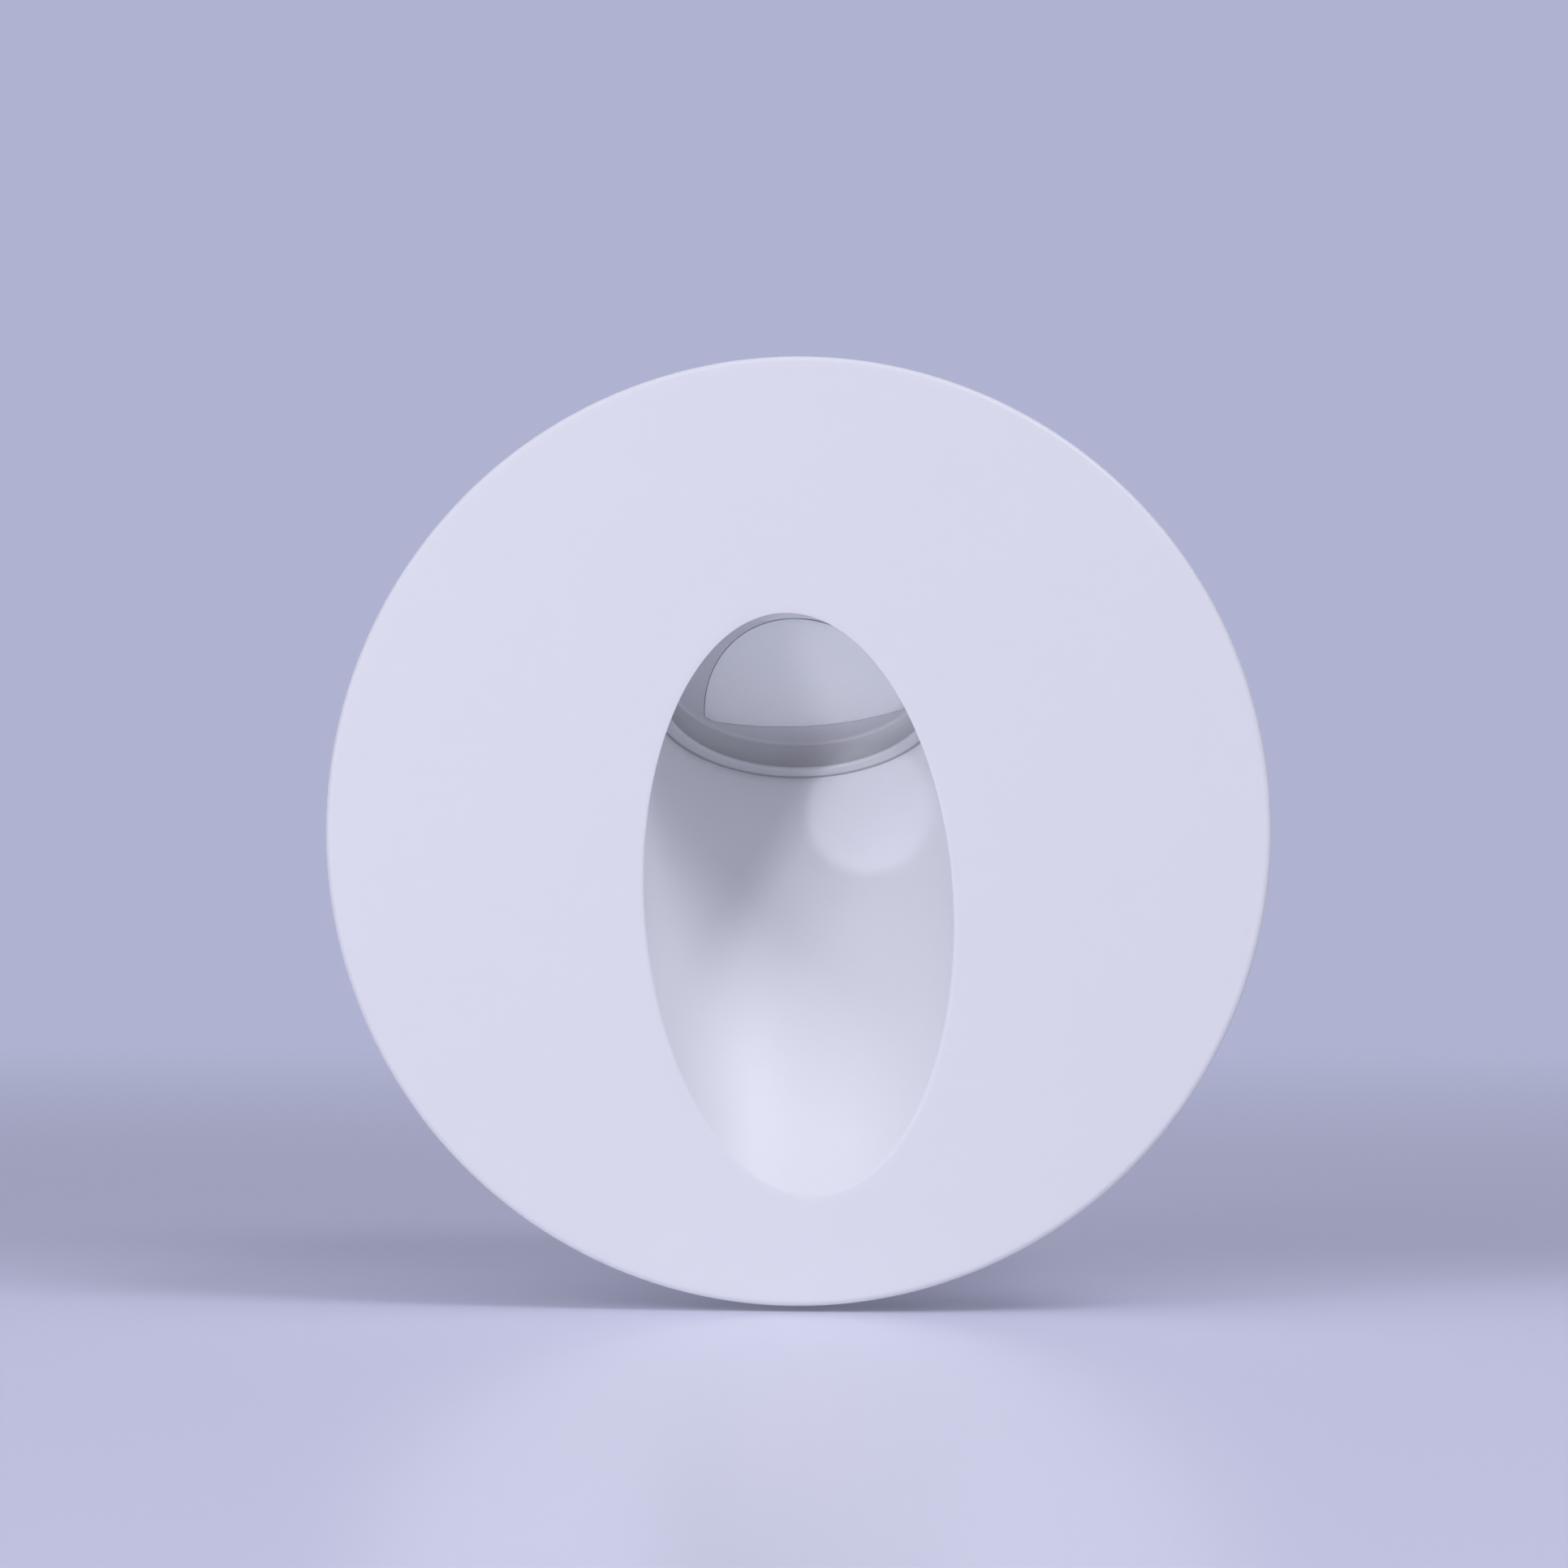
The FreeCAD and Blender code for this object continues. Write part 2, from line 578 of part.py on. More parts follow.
bore = rod("bore", LIGHT, "bore_radius", "3 * bore_length", z="-2 * bore_length")
socket = rod("socket", LIGHT, "socket_radius", "bore_length", z="bore_length")
post_holes = [
    rod(
        f"post_hole_{tag}",
        WALL,
        "housing_screw_radius + thread_gap",
        "housing_screw_length",
        f"{across} * {POST_X}",
        f"{up} * {POST_Z}",
        "shelf_back - housing_screw_length - 0.5",
    )
    for tag, across, up in CORNERS
]
ear_holes = [
    rod(
        f"ear_hole_{tag}",
        LIGHT,
        "ear_screw_radius + thread_gap",
        "ear_screw_length",
        f"{across} * ear_offset",
        "ear_drop",
        "ear_back - ear_screw_length - 0.3",
    )
    for tag, across in SIDES
]
node(less("face_plate", casting, [in_front, bore, socket] + post_holes + ear_holes))

wall_gasket = washer(
    "wall_gasket",
    "seat_radius + gasket_gap",
    "gasket_radius - gasket_gap",
    "-gasket_thickness",
    "gasket_thickness",
)
node(place(wall_gasket, WALL))

# ---------------------------------------------------------------- lamp in the socket
# Stacked from the bore upwards: a ring in its sleeve seal, the cup with the lens,
# reflector, chip and board, then the pad and the heat spreader that closes it.
lens_seal = washer(
    "lens_seal",
    "ring_outer",
    "bore_radius",
    "ring_front",
    "seal_length",
)
node(place(lens_seal, LIGHT))

lens_ring = turned(
    "lens_ring",
    [
        ("ring_inner + ring_rounding", "ring_front"),
        ("ring_outer", "ring_front"),
        ("ring_outer", "cup_front"),
        ("ring_inner", "cup_front"),
        ("ring_inner", "ring_front + ring_rounding", "ring_rounding", 1),
    ],
)
node(place(lens_ring, LIGHT))


def window(name, inset, start, height):
    """The window's shape, round from the front above its foot, along the light's axis."""
    foot_side = shared(
        f"{name}_foot_side",
        rod(
            f"{name}_foot",
            LIGHT,
            f"window_foot_radius - {inset}",
            height,
            y="window_foot - window_foot_radius",
            z=start,
        ),
        rod(f"{name}_limit", LIGHT, f"window_limit - {inset}", height, z=start),
    )
    front_round = rod(
        f"{name}_round", WALL, f"window_radius - {inset}", "2 * board_back", y="-window_level"
    )
    return shared(name, foot_side, front_round)


cup_body = turned(
    "lens_cup_body",
    [
        ("0", "cup_floor"),
        ("0", "lens_front"),
        ("cartridge_radius - cup_wall", "lens_front"),
        ("cartridge_radius - cup_wall", "board_front"),
        ("cartridge_radius", "board_front"),
        ("cartridge_radius", "lens_front"),
        ("ring_outer", "lens_front"),
        ("ring_outer", "cup_front"),
        ("ring_inner", "cup_front"),
        ("ring_inner", "cup_floor - cup_cove", "cup_cove", 1),
        ("ring_inner - cup_cove", "cup_floor"),
    ],
)
place(cup_body, LIGHT)
head_rooms = [
    rod(
        f"head_room_{tag}",
        LIGHT,
        "small_head_radius + 0.15",
        "small_head_height + 0.4",
        f"{across} * board_screw_offset",
        "0",
        "board_front - small_head_height - 0.3",
    )
    for tag, across in SIDES
]
cup_window = window("cup_window", "0", "cup_floor - 1", "cup_lip + 2")
node(less("lens_cup", cup_body, head_rooms + [cup_window]))

lens_flange = rod(
    "lens_flange",
    LIGHT,
    "cartridge_radius - cup_wall - lens_gap",
    "lens_thickness",
    z="lens_front",
)
lens_face = window("lens_face", "lens_gap", "cup_floor", "cup_lip + 0.1")
node(joined("lens", [lens_flange, lens_face]))

reflector = turned(
    "reflector",
    [
        ("reflector_radius - reflector_edge", "lens_back"),
        ("reflector_radius", "lens_back"),
        ("reflector_radius", "board_front"),
        ("reflector_narrow", "board_front"),
    ],
)
node(place(reflector, LIGHT))

chip_base = block(
    "led_chip_base",
    WORLD,
    ("-chip_width / 2", "-chip_width / 2", "board_front - chip_thickness"),
    ("chip_width", "chip_width", "chip_thickness"),
)
chip_dome = turned(
    "led_chip_dome",
    [
        ("0", "board_front - chip_thickness - chip_crown"),
        ("0", "board_front - chip_thickness / 2"),
        ("chip_dome", "board_front - chip_thickness / 2"),
        ("chip_dome", "board_front - chip_thickness", crown_curve("chip_dome", "chip_crown"), -1),
    ],
)
node(place(joined("led_chip", [chip_base, chip_dome]), LIGHT))

board_disc = washer(
    "led_board_disc", "0", "cartridge_radius", "board_front", "board_thickness"
)
board_holes = [
    rod(
        f"board_hole_{tag}",
        WORLD,
        "board_screw_radius + 0.15",
        "board_thickness + 1",
        f"{across} * board_screw_offset",
        "0",
        "board_front - 0.5",
    )
    for tag, across in SIDES
]
node(place(less("led_board", board_disc, board_holes), LIGHT))

thermal_pad = washer("thermal_pad", "0", "pad_radius", "board_back", "pad_thickness")
node(place(thermal_pad, LIGHT))

board_screws = [
    screw(
        f"board_screw_{tag}",
        LIGHT,
        f"{across} * board_screw_offset",
        "0",
        "board_front",
        "board_screw_radius",
        "board_thickness + pad_thickness + board_screw_length",
        "small_head_radius",
        "small_head_height",
        towards=1,
    )
    for tag, across in SIDES
]
node(group("board_screws", board_screws))

# The spreader is a slanted block that reaches the housing's roof, with two ears
# for the screws that hold the whole lamp in its socket.
spreader_core = shared(
    "heat_spreader_core",
    rod("spreader_rod", LIGHT, "cartridge_radius", "spreader_height", z="spreader_seat"),
    rod(
        "spreader_room",
        WALL,
        "housing_inner - spreader_gap",
        "shelf_front - housing_front - 0.3",
        z="housing_front",
    ),
)
ears = [
    rod(
        f"ear_{tag}",
        LIGHT,
        "ear_radius",
        "ear_thickness",
        f"{across} * ear_offset",
        "ear_drop",
        "spreader_seat",
    )
    for tag, across in SIDES
]
ear_bar = block(
    "ear_bar",
    LIGHT,
    ("-ear_offset", "ear_drop - ear_radius", "spreader_seat"),
    ("2 * ear_offset", "2 * ear_radius", "ear_thickness"),
)
ear_clearances = [
    rod(
        f"ear_clearance_{tag}",
        LIGHT,
        "ear_screw_radius + 0.15",
        "ear_thickness + 2",
        f"{across} * ear_offset",
        "ear_drop",
        "spreader_seat - 1",
    )
    for tag, across in SIDES
]
spreader_threads = [
    rod(
        f"spreader_thread_{tag}",
        LIGHT,
        "board_screw_radius + thread_gap",
        "board_screw_length + 1.3",
        f"{across} * board_screw_offset",
        "0",
        "spreader_seat - 1",
    )
    for tag, across in SIDES
]
lead_slot = block(
    "lead_slot",
    LIGHT,
    ("-lead_slot_half", "lead_slot_start", "spreader_seat - 1"),
    ("2 * lead_slot_half", "cartridge_radius", "spreader_height + 2"),
)
spreader = joined("heat_spreader_block", [spreader_core, ear_bar] + ears)
node(less("heat_spreader", spreader, ear_clearances + spreader_threads + [lead_slot]))

spreader_screws = [
    screw(
        f"spreader_screw_{tag}",
        LIGHT,
        f"{across} * ear_offset",
        "ear_drop",
        "ear_back",
        "ear_screw_radius",
        "ear_screw_length",
        "ear_head_radius",
        "ear_head_height",
    )
    for tag, across in SIDES
]
node(group("spreader_screws", spreader_screws))

# ---------------------------------------------------------------- housing
# A can with a shelf between the lamp's chamber and the driver's, cooling slots
# round its rear half and a pocket at each side for a wall clip.
body_seal = washer(
    "body_seal",
    "housing_inner + 0.1",
    "housing_radius - 0.1",
    "seat_height",
    "body_seal_thickness",
)
node(place(body_seal, WALL))

can = turned(
    "housing_can",
    [
        ("housing_inner", "housing_front"),
        ("housing_radius", "housing_front"),
        ("housing_radius", "housing_back"),
        ("rear_chamber_radius", "housing_back"),
        ("rear_chamber_radius", "shelf_back"),
        ("shelf_radius", "shelf_back"),
        ("shelf_radius", "shelf_front"),
        ("housing_inner", "shelf_front"),
    ],
)
slot_sketch = new_sketch(
    can,
    "XY_Plane",
    "housing_slot_outline",
    [
        ("housing_radius - slot_depth", "-slot_width / 2"),
        ("housing_radius + slot_depth", "-slot_width / 2"),
        ("housing_radius + slot_depth", "slot_width / 2"),
        ("housing_radius - slot_depth", "slot_width / 2"),
    ],
)
half_pitch = 180 / amount_of("slot_count")
slot_turn = FreeCAD.Rotation(FreeCAD.Vector(0, 0, 1), half_pitch)
slot_start = FreeCAD.Vector(0, 0, amount_of("slot_front"))
slot_sketch.AttachmentOffset = FreeCAD.Placement(slot_start, slot_turn)
doc.recompute()
first_slot = can.newObject("PartDesign::Pocket", "housing_slot")
first_slot.Profile = slot_sketch
first_slot.Reversed = True
bind(first_slot, Length="housing_back - slot_rim - slot_front")
slots = can.newObject("PartDesign::PolarPattern", "housing_slots")
slots.Originals = [first_slot]
slots.Axis = (slot_sketch, ["N_Axis"])
slots.Angle = 360
slots.Occurrences = round(amount_of("slot_count"))
can.Tip = slots
place(can, WALL)

pocket_walls = []
pocket_cuts = []
for tag, frame in (("right", RIGHT), ("left", LEFT)):
    pocket_walls.append(
        block(
            f"pocket_wall_{tag}",
            frame,
            (
                "pocket_floor - pocket_wall",
                "pocket_front - pocket_wall",
                "-pocket_half - pocket_wall",
            ),
            (
                "housing_radius - pocket_floor + pocket_wall",
                "shelf_front - pocket_front + pocket_wall",
                "2 * (pocket_half + pocket_wall)",
            ),
        )
    )
    pocket_cuts.append(
        block(
            f"pocket_{tag}",
            frame,
            ("pocket_floor", "pocket_front", "-pocket_half"),
            ("housing_radius", "pocket_back - pocket_front", "2 * pocket_half"),
        )
    )
    for up, level in (("upper", "1"), ("lower", "-1")):
        hole = rod(
            f"bracket_hole_{up}_{tag}",
            WORLD,
            "board_screw_radius + thread_gap",
            "bracket_screw_length",
        )
        hole.Placement.Rotation = FreeCAD.Rotation(FreeCAD.Vector(0, 1, 0), 90)
        out = "pocket_floor + 0.3 - bracket_screw_length"
        out = out if frame is RIGHT else "-(pocket_floor + 0.3)"
        hole.setExpression("Placement.Base.x", formula(out))
        hole.setExpression("Placement.Base.y", formula("bracket_screw_depth"))
        hole.setExpression("Placement.Base.z", formula(f"{level} * bracket_screw_side"))
        pocket_cuts.append(hole)
can_limit = rod(
    "housing_limit", WALL, "housing_radius - 0.5", "housing_back", z="housing_front"
)
pockets_inside = shared("pocket_walls", joined("pocket_blocks", pocket_walls), can_limit)
wells = [
    rod(
        f"well_{tag}",
        WALL,
        "well_radius",
        "housing_back",
        f"{across} * {POST_X}",
        f"{up} * {POST_Z}",
        "shelf_back",
    )
    for tag, across, up in CORNERS
]
shelf_holes = [
    rod(
        f"shelf_hole_{tag}",
        WALL,
        "housing_screw_radius + 0.15",
        "shelf_thickness + 2",
        f"{across} * {POST_X}",
        f"{up} * {POST_Z}",
        "shelf_front - 1",
    )
    for tag, across, up in CORNERS
]
COVER_X = "cover_screw_circle * cos(45deg)"
cover_threads = [
    rod(
        f"cover_thread_{tag}",
        WALL,
        "cover_screw_radius + thread_gap",
        "cover_screw_length",
        f"{across} * {COVER_X}",
        f"{up} * {COVER_X}",
        "cover_back - cover_screw_length - 0.4",
    )
    for tag, across, up in CORNERS
]
shell = joined("housing_shell", [can, pockets_inside])
node(less("housing", shell, pocket_cuts + wells + shelf_holes + cover_threads))

housing_screws = [
    screw(
        f"housing_screw_{tag}",
        WALL,
        f"{across} * {POST_X}",
        f"{up} * {POST_Z}",
        "shelf_back",
        "housing_screw_radius",
        "housing_screw_length",
        "housing_head_radius",
        "housing_head_height",
    )
    for tag, across, up in CORNERS
]
node(group("housing_screws", housing_screws))

# ---------------------------------------------------------------- driver
# A round board on three posts of the rear cover, with its parts on both sides.
DRIVER_POSTS = (("a", "45"), ("b", "135"), ("c", "270"))


def driver_post_point(angle):
    return (
        f"driver_post_circle * cos({angle}deg)",
        f"-driver_post_circle * sin({angle}deg)",
    )


driver_disc = washer(
    "driver_disc", "0", "driver_board_radius", "driver_front", "driver_board_thickness"
)
place(driver_disc, WALL)
driver_holes = [
    rod(
        f"driver_hole_{tag}",
        WALL,
        "board_screw_radius + 0.15",
        "driver_board_thickness + 2",
        *driver_post_point(angle),
        "driver_front - 1",
    )
    for tag, angle in DRIVER_POSTS
]
node(less("driver_board", driver_disc, driver_holes))

driver_screws = [
    screw(
        f"driver_screw_{tag}",
        WALL,
        *driver_post_point(angle),
        "driver_front",
        "board_screw_radius",
        "driver_screw_length",
        "small_head_radius",
        "small_head_height",
        towards=1,
    )
    for tag, angle in DRIVER_POSTS
]
node(group("driver_screws", driver_screws))

# transformer: a wound core on a base, on the board's front side
core = block(
    "transformer_core",
    WORLD,
    (
        "-transformer_side - transformer_width",
        "driver_front - transformer_height",
        "-transformer_drop - transformer_length",
    ),
    ("transformer_width", "transformer_height", "transformer_length"),
)
base = block(
    "transformer_base",
    WORLD,
    (
        "-transformer_side - transformer_width - transformer_flange",
        "driver_front - transformer_foot",
        "-transformer_drop - transformer_length - transformer_flange",
    ),
    (
        "transformer_width + 2 * transformer_flange",
        "transformer_foot",
        "transformer_length + 2 * transformer_flange",
    ),
)
node(joined("transformer", [core, base]))

for name in ("input_capacitor", "output_capacitor", "choke"):
    front = f"driver_front - {name}_length"
    can_part = turned(
        name,
        [
            ("0", front),
            (f"{name}_radius - can_rounding", front, "can_rounding", 1),
            (f"{name}_radius", f"{front} + can_rounding"),
            (f"{name}_radius", "driver_front"),
            ("0", "driver_front"),
        ],
    )
    node(place(can_part, WALL, f"{name}_x", f"-{name}_z"))

node(
    block(
        "driver_chip",
        WORLD,
        ("driver_chip_x", "driver_back", "driver_chip_z"),
        ("driver_chip_width", "driver_chip_height", "driver_chip_length"),
    )
)

TERMINAL_LOW = "-driver_post_circle + driver_post_radius + terminal_gap"
terminal_body = block(
    "terminal_body",
    WORLD,
    ("-terminal_width / 2", "driver_back", TERMINAL_LOW),
    ("terminal_width", "terminal_height", "terminal_depth"),
)
terminal_cuts = [
    block(
        f"terminal_mouth_{tag}",
        WORLD,
        (
            f"{across} * terminal_width / 4 - terminal_mouth / 2",
            "driver_back + (terminal_height - terminal_mouth) / 2",
            f"{TERMINAL_LOW} + terminal_depth / 2",
        ),
        ("terminal_mouth", "terminal_mouth", "terminal_depth"),
    )
    for tag, across in SIDES
]
node(less("terminal_block", terminal_body, terminal_cuts))

# Two insulated leads from the lamp's board, up the spreader's slot and back to the driver.


def rounded_path(points):
    """Straight runs joined by arcs as large as the shorter run of each corner allows."""
    edges = []
    start = points[0]
    for before, corner, after in zip(points, points[1:], points[2:]):
        way_in = (corner - before).normalize()
        way_out = (after - corner).normalize()
        run = 0.45 * min((corner - before).Length, (after - corner).Length)
        arc_start, arc_end = corner - way_in * run, corner + way_out * run
        half_turn = way_in.getAngle(way_out) / 2
        to_centre = (way_out - way_in).normalize()
        radius = run / math.tan(half_turn)
        middle = corner + to_centre * (radius / math.cos(half_turn) - radius)
        edges.append(Part.LineSegment(start, arc_start).toShape())
        edges.append(Part.Arc(arc_start, middle, arc_end).toShape())
        print(f"lead bend radius {radius:.2f} mm")
        start = arc_end
    edges.append(Part.LineSegment(start, points[-1]).toShape())
    return Part.Wire(edges)


def tube(path, radius):
    """A round solid wire along a path."""
    start = path.Edges[0].valueAt(path.Edges[0].FirstParameter)
    way = path.Edges[0].tangentAt(path.Edges[0].FirstParameter)
    end_circle = Part.Wire(Part.makeCircle(radius, start, way))
    solid = path.makePipeShell([end_circle], True, False)
    expected = math.pi * radius**2 * path.Length
    if abs(solid.Volume - expected) > 0.03 * expected:
        raise ValueError(f"tube volume {solid.Volume:.3f}, expected {expected:.3f}")
    return solid


def light_point(x, y, z):
    """A point of the LIGHT frame in the world frame."""
    world = [text.format(x=x, y=y, z=z) for text in LIGHT[2]]
    return FreeCAD.Vector(*(amount_of(text) for text in world))


leads = []
for across in ("-lead_spacing / 2", "lead_spacing / 2"):
    foot = light_point(across, "lead_slot_start + lead_depth", "board_back")
    bend = light_point(across, "lead_slot_start + lead_depth", "board_back + lead_rise")
    end = FreeCAD.Vector(bend.x, amount_of("driver_front"), bend.z)
    leads.append(tube(rounded_path([foot, bend, end]), amount_of("lead_radius")))
led_leads = doc.addObject("Part::Feature", "led_leads")
led_leads.Shape = Part.makeCompound(leads)
node(led_leads)

# ---------------------------------------------------------------- rear cover and gland
cover_seal_ring = washer(
    "cover_seal_ring",
    "cover_seal_inner",
    "housing_radius - 0.2",
    "housing_back",
    "cover_seal_thickness",
)
place(cover_seal_ring, WALL)


def cover_screw_holes(owner, radius):
    return [
        rod(
            f"{owner}_{tag}",
            WALL,
            radius,
            "cover_thickness + 4",
            f"{across} * {COVER_X}",
            f"{up} * {COVER_X}",
            "housing_back - 1",
        )
        for tag, across, up in CORNERS
    ]


seal_holes = cover_screw_holes("cover_seal_hole", "cover_screw_radius + 0.25")
node(less("cover_seal", cover_seal_ring, seal_holes))

cover_plate = turned(
    "rear_cover_plate",
    [
        ("0", "cover_front"),
        ("housing_radius", "cover_front"),
        ("housing_radius", "cover_back - cover_edge"),
        ("housing_radius - cover_edge", "cover_back"),
        ("0", "cover_back"),
    ],
)
place(cover_plate, WALL)
driver_posts = [
    rod(
        f"driver_post_{tag}",
        WALL,
        "driver_post_radius",
        "cover_front - driver_back + 0.2",
        *driver_post_point(angle),
        "driver_back",
    )
    for tag, angle in DRIVER_POSTS
]
driver_threads = [
    rod(
        f"driver_thread_{tag}",
        WALL,
        "board_screw_radius + thread_gap",
        "driver_screw_length - driver_board_thickness + 1.4",
        *driver_post_point(angle),
        "driver_back - 1",
    )
    for tag, angle in DRIVER_POSTS
]
gland_hole = rod(
    "gland_hole", WALL, "gland_thread_radius + 0.1", "cover_thickness + 2", z="cover_front - 1"
)
cover_body = joined("rear_cover_body", [cover_plate] + driver_posts)
cover_holes = cover_screw_holes("cover_hole", "cover_screw_radius + 0.2")
node(less("rear_cover", cover_body, cover_holes + driver_threads + [gland_hole]))

cover_screws = [
    screw(
        f"cover_screw_{tag}",
        WALL,
        f"{across} * {COVER_X}",
        f"{up} * {COVER_X}",
        "cover_back",
        "cover_screw_radius",
        "cover_screw_length",
        "cover_head_radius",
        "cover_head_height",
    )
    for tag, across, up in CORNERS
]
node(group("cover_screws", cover_screws))

gland_washer = washer(
    "gland_washer",
    "gland_thread_radius + 0.1",
    "gland_thread_radius + gland_collar_wall / 2",
    "cover_back",
    "gland_washer_thickness",
)
node(place(gland_washer, WALL))

gland_thread = rod(
    "gland_thread",
    WALL,
    "gland_thread_radius",
    "gland_inner_length + collar_back + gland_outer_length - cover_front",
    z="cover_front - gland_inner_length",
)
gland_collar = hexagon(
    "gland_collar",
    WALL,
    "gland_thread_radius + gland_collar_wall",
    "gland_collar_height",
    "collar_front",
)
gland_passage = rod(
    "gland_passage", WALL, "gland_bore_radius", "housing_back", z="driver_back"
)
# the seal's seat inside the thread's outer end
gland_seat = rod(
    "gland_seat",
    WALL,
    "gland_seal_outer + 2 * thread_gap",
    "gland_outer_length + 1",
    z="collar_back + seal_start",
)
gland_solid = joined("gland_solid", [gland_thread, gland_collar])
node(less("gland_body", gland_solid, [gland_passage, gland_seat]))

gland_seal = washer(
    "gland_seal",
    "gland_seal_radius",
    "gland_seal_outer",
    "collar_back + seal_start",
    "gland_seal_length",
)
node(place(gland_seal, WALL))

# the dome nut: a hexagon with a rounded end, screwed over the gland's outer thread
CAP_CORNER = "gland_thread_radius + gland_cap_wall"
CAP_END = "collar_back + cap_start + gland_cap_length"
cap_prism = hexagon(
    "gland_cap_prism", WALL, CAP_CORNER, "gland_cap_length", "collar_back + cap_start"
)
cap_dome = turned(
    "gland_cap_dome",
    [
        ("0", "collar_back"),
        (CAP_CORNER, "collar_back"),
        (CAP_CORNER, f"{CAP_END} - gland_dome_height", "gland_dome_curve", 1),
        ("gland_seal_radius + gland_dome_rim", CAP_END),
        ("0", CAP_END),
    ],
)
place(cap_dome, WALL)
cap_thread = rod(
    "gland_cap_thread",
    WALL,
    "gland_thread_radius + thread_gap",
    "gland_cap_length - gland_cap_roof + 1",
    z="collar_back - 0.8",
)
cap_hole = rod(
    "gland_cap_mouth",
    WALL,
    "gland_seal_radius + gland_cap_step",
    "housing_back",
    z="collar_back",
)
cap_body = shared("gland_cap_body", cap_prism, cap_dome)
node(less("gland_cap", cap_body, [cap_thread, cap_hole]))

locknut_prism = hexagon(
    "locknut_prism",
    WALL,
    "gland_thread_radius + locknut_wall",
    "locknut_height",
    "cover_front - locknut_height",
)
locknut_hole = rod(
    "locknut_hole", WALL, "gland_thread_radius + thread_gap", "20", z="driver_back"
)
node(less("gland_locknut", locknut_prism, [locknut_hole]))

# ---------------------------------------------------------------- wall clips
# Each side: a bracket screwed into the housing's pocket, a riveted pin, a spring
# round the pin and a sprung arm in a rubber sleeve that grips the wall from behind.


def arm_frame(piece, side):
    """Place a piece drawn along local X at the clip's pivot, leaning to the plate."""
    lean = FreeCAD.Rotation(FreeCAD.Vector(0, 0, 1), -amount_of("rest_angle"))
    half_turn = FreeCAD.Rotation(FreeCAD.Vector(0, 1, 0), 180 if side == "left" else 0)
    out = -1 if side == "left" else 1
    piece.Placement = FreeCAD.Placement(FreeCAD.Vector(), half_turn.multiply(lean))
    piece.setExpression("Placement.Base.x", formula(f"{out} * pivot_out"))
    piece.setExpression("Placement.Base.y", formula("pivot_depth"))
    return piece


def clip_bracket(side, frame):
    base = block(
        f"bracket_base_{side}",
        frame,
        ("pocket_floor", "bracket_front", "-bracket_half"),
        ("bracket_gauge", "bracket_back - bracket_front", "2 * bracket_half"),
    )
    parts = [base]
    for tag, level in (("upper", "ear_inside"), ("lower", "-ear_inside - bracket_gauge")):
        ear_block = block(
            f"bracket_ear_{tag}_{side}",
            frame,
            ("pocket_floor", "pivot_depth - bracket_ear_radius", level),
            ("pivot_out - pocket_floor", "2 * bracket_ear_radius", "bracket_gauge"),
        )
        ear_round = rod(
            f"bracket_ear_end_{tag}_{side}",
            frame,
            "bracket_ear_radius",
            "bracket_gauge",
            "pivot_out",
            "pivot_depth",
            level,
        )
        parts += [ear_block, ear_round]
    pin_hole = rod(
        f"bracket_pin_hole_{side}",
        frame,
        "pin_radius + thread_gap",
        "4 * ear_inside",
        "pivot_out",
        "pivot_depth",
        "-2 * ear_inside",
    )
    holes = [pin_hole]
    for tag, level in (("upper", "1"), ("lower", "-1")):
        hole = block(
            f"bracket_slot_{tag}_{side}",
            frame,
            (
                "pocket_floor - 1",
                "bracket_screw_depth - board_screw_radius - 0.15",
                f"{level} * bracket_screw_side - board_screw_radius - 0.15",
            ),
            (
                "bracket_gauge + 2",
                "2 * (board_screw_radius + 0.15)",
                "2 * (board_screw_radius + 0.15)",
            ),
        )
        holes.append(hole)
    body = joined(f"bracket_body_{side}", parts)
    return less(f"clip_bracket_{side}", body, holes)


def clip_pin(side, frame):
    reach = "(ear_inside + bracket_gauge + pin_head_height)"
    stem = "(ear_inside + bracket_gauge)"
    pin = turned(
        f"clip_pin_{side}",
        [
            ("0", f"-{reach}"),
            ("pin_head_radius", f"-{reach}"),
            ("pin_head_radius", f"-{stem}"),
            ("pin_radius", f"-{stem}"),
            ("pin_radius", stem),
            ("pin_head_radius", stem),
            ("pin_head_radius", reach),
            ("0", reach),
        ],
    )
    return place(pin, frame, "pivot_out", "pivot_depth")


def clip_arm(side):
    parts = [
        block(
            f"arm_blade_{side}",
            WORLD,
            ("arm_start", "-arm_gauge / 2", "-arm_half"),
            ("arm_end - arm_start", "arm_gauge", "2 * arm_half"),
        )
    ]
    for tag, level in (("upper", "arm_half - knuckle_width"), ("lower", "-arm_half")):
        knuckle = rod(
            f"arm_knuckle_{tag}_{side}", WORLD, "knuckle_radius", "knuckle_width", z=level
        )
        neck = block(
            f"arm_neck_{tag}_{side}",
            WORLD,
            ("0", "-arm_gauge / 2", level),
            ("arm_start + 0.2", "arm_gauge", "knuckle_width"),
        )
        parts += [knuckle, neck]
    hole = rod(
        f"arm_hole_{side}", WORLD, "pin_radius + thread_gap", "4 * arm_half", z="-2 * arm_half"
    )
    body = joined(f"arm_body_{side}", parts)
    return arm_frame(less(f"clip_arm_{side}", body, [hole]), side)


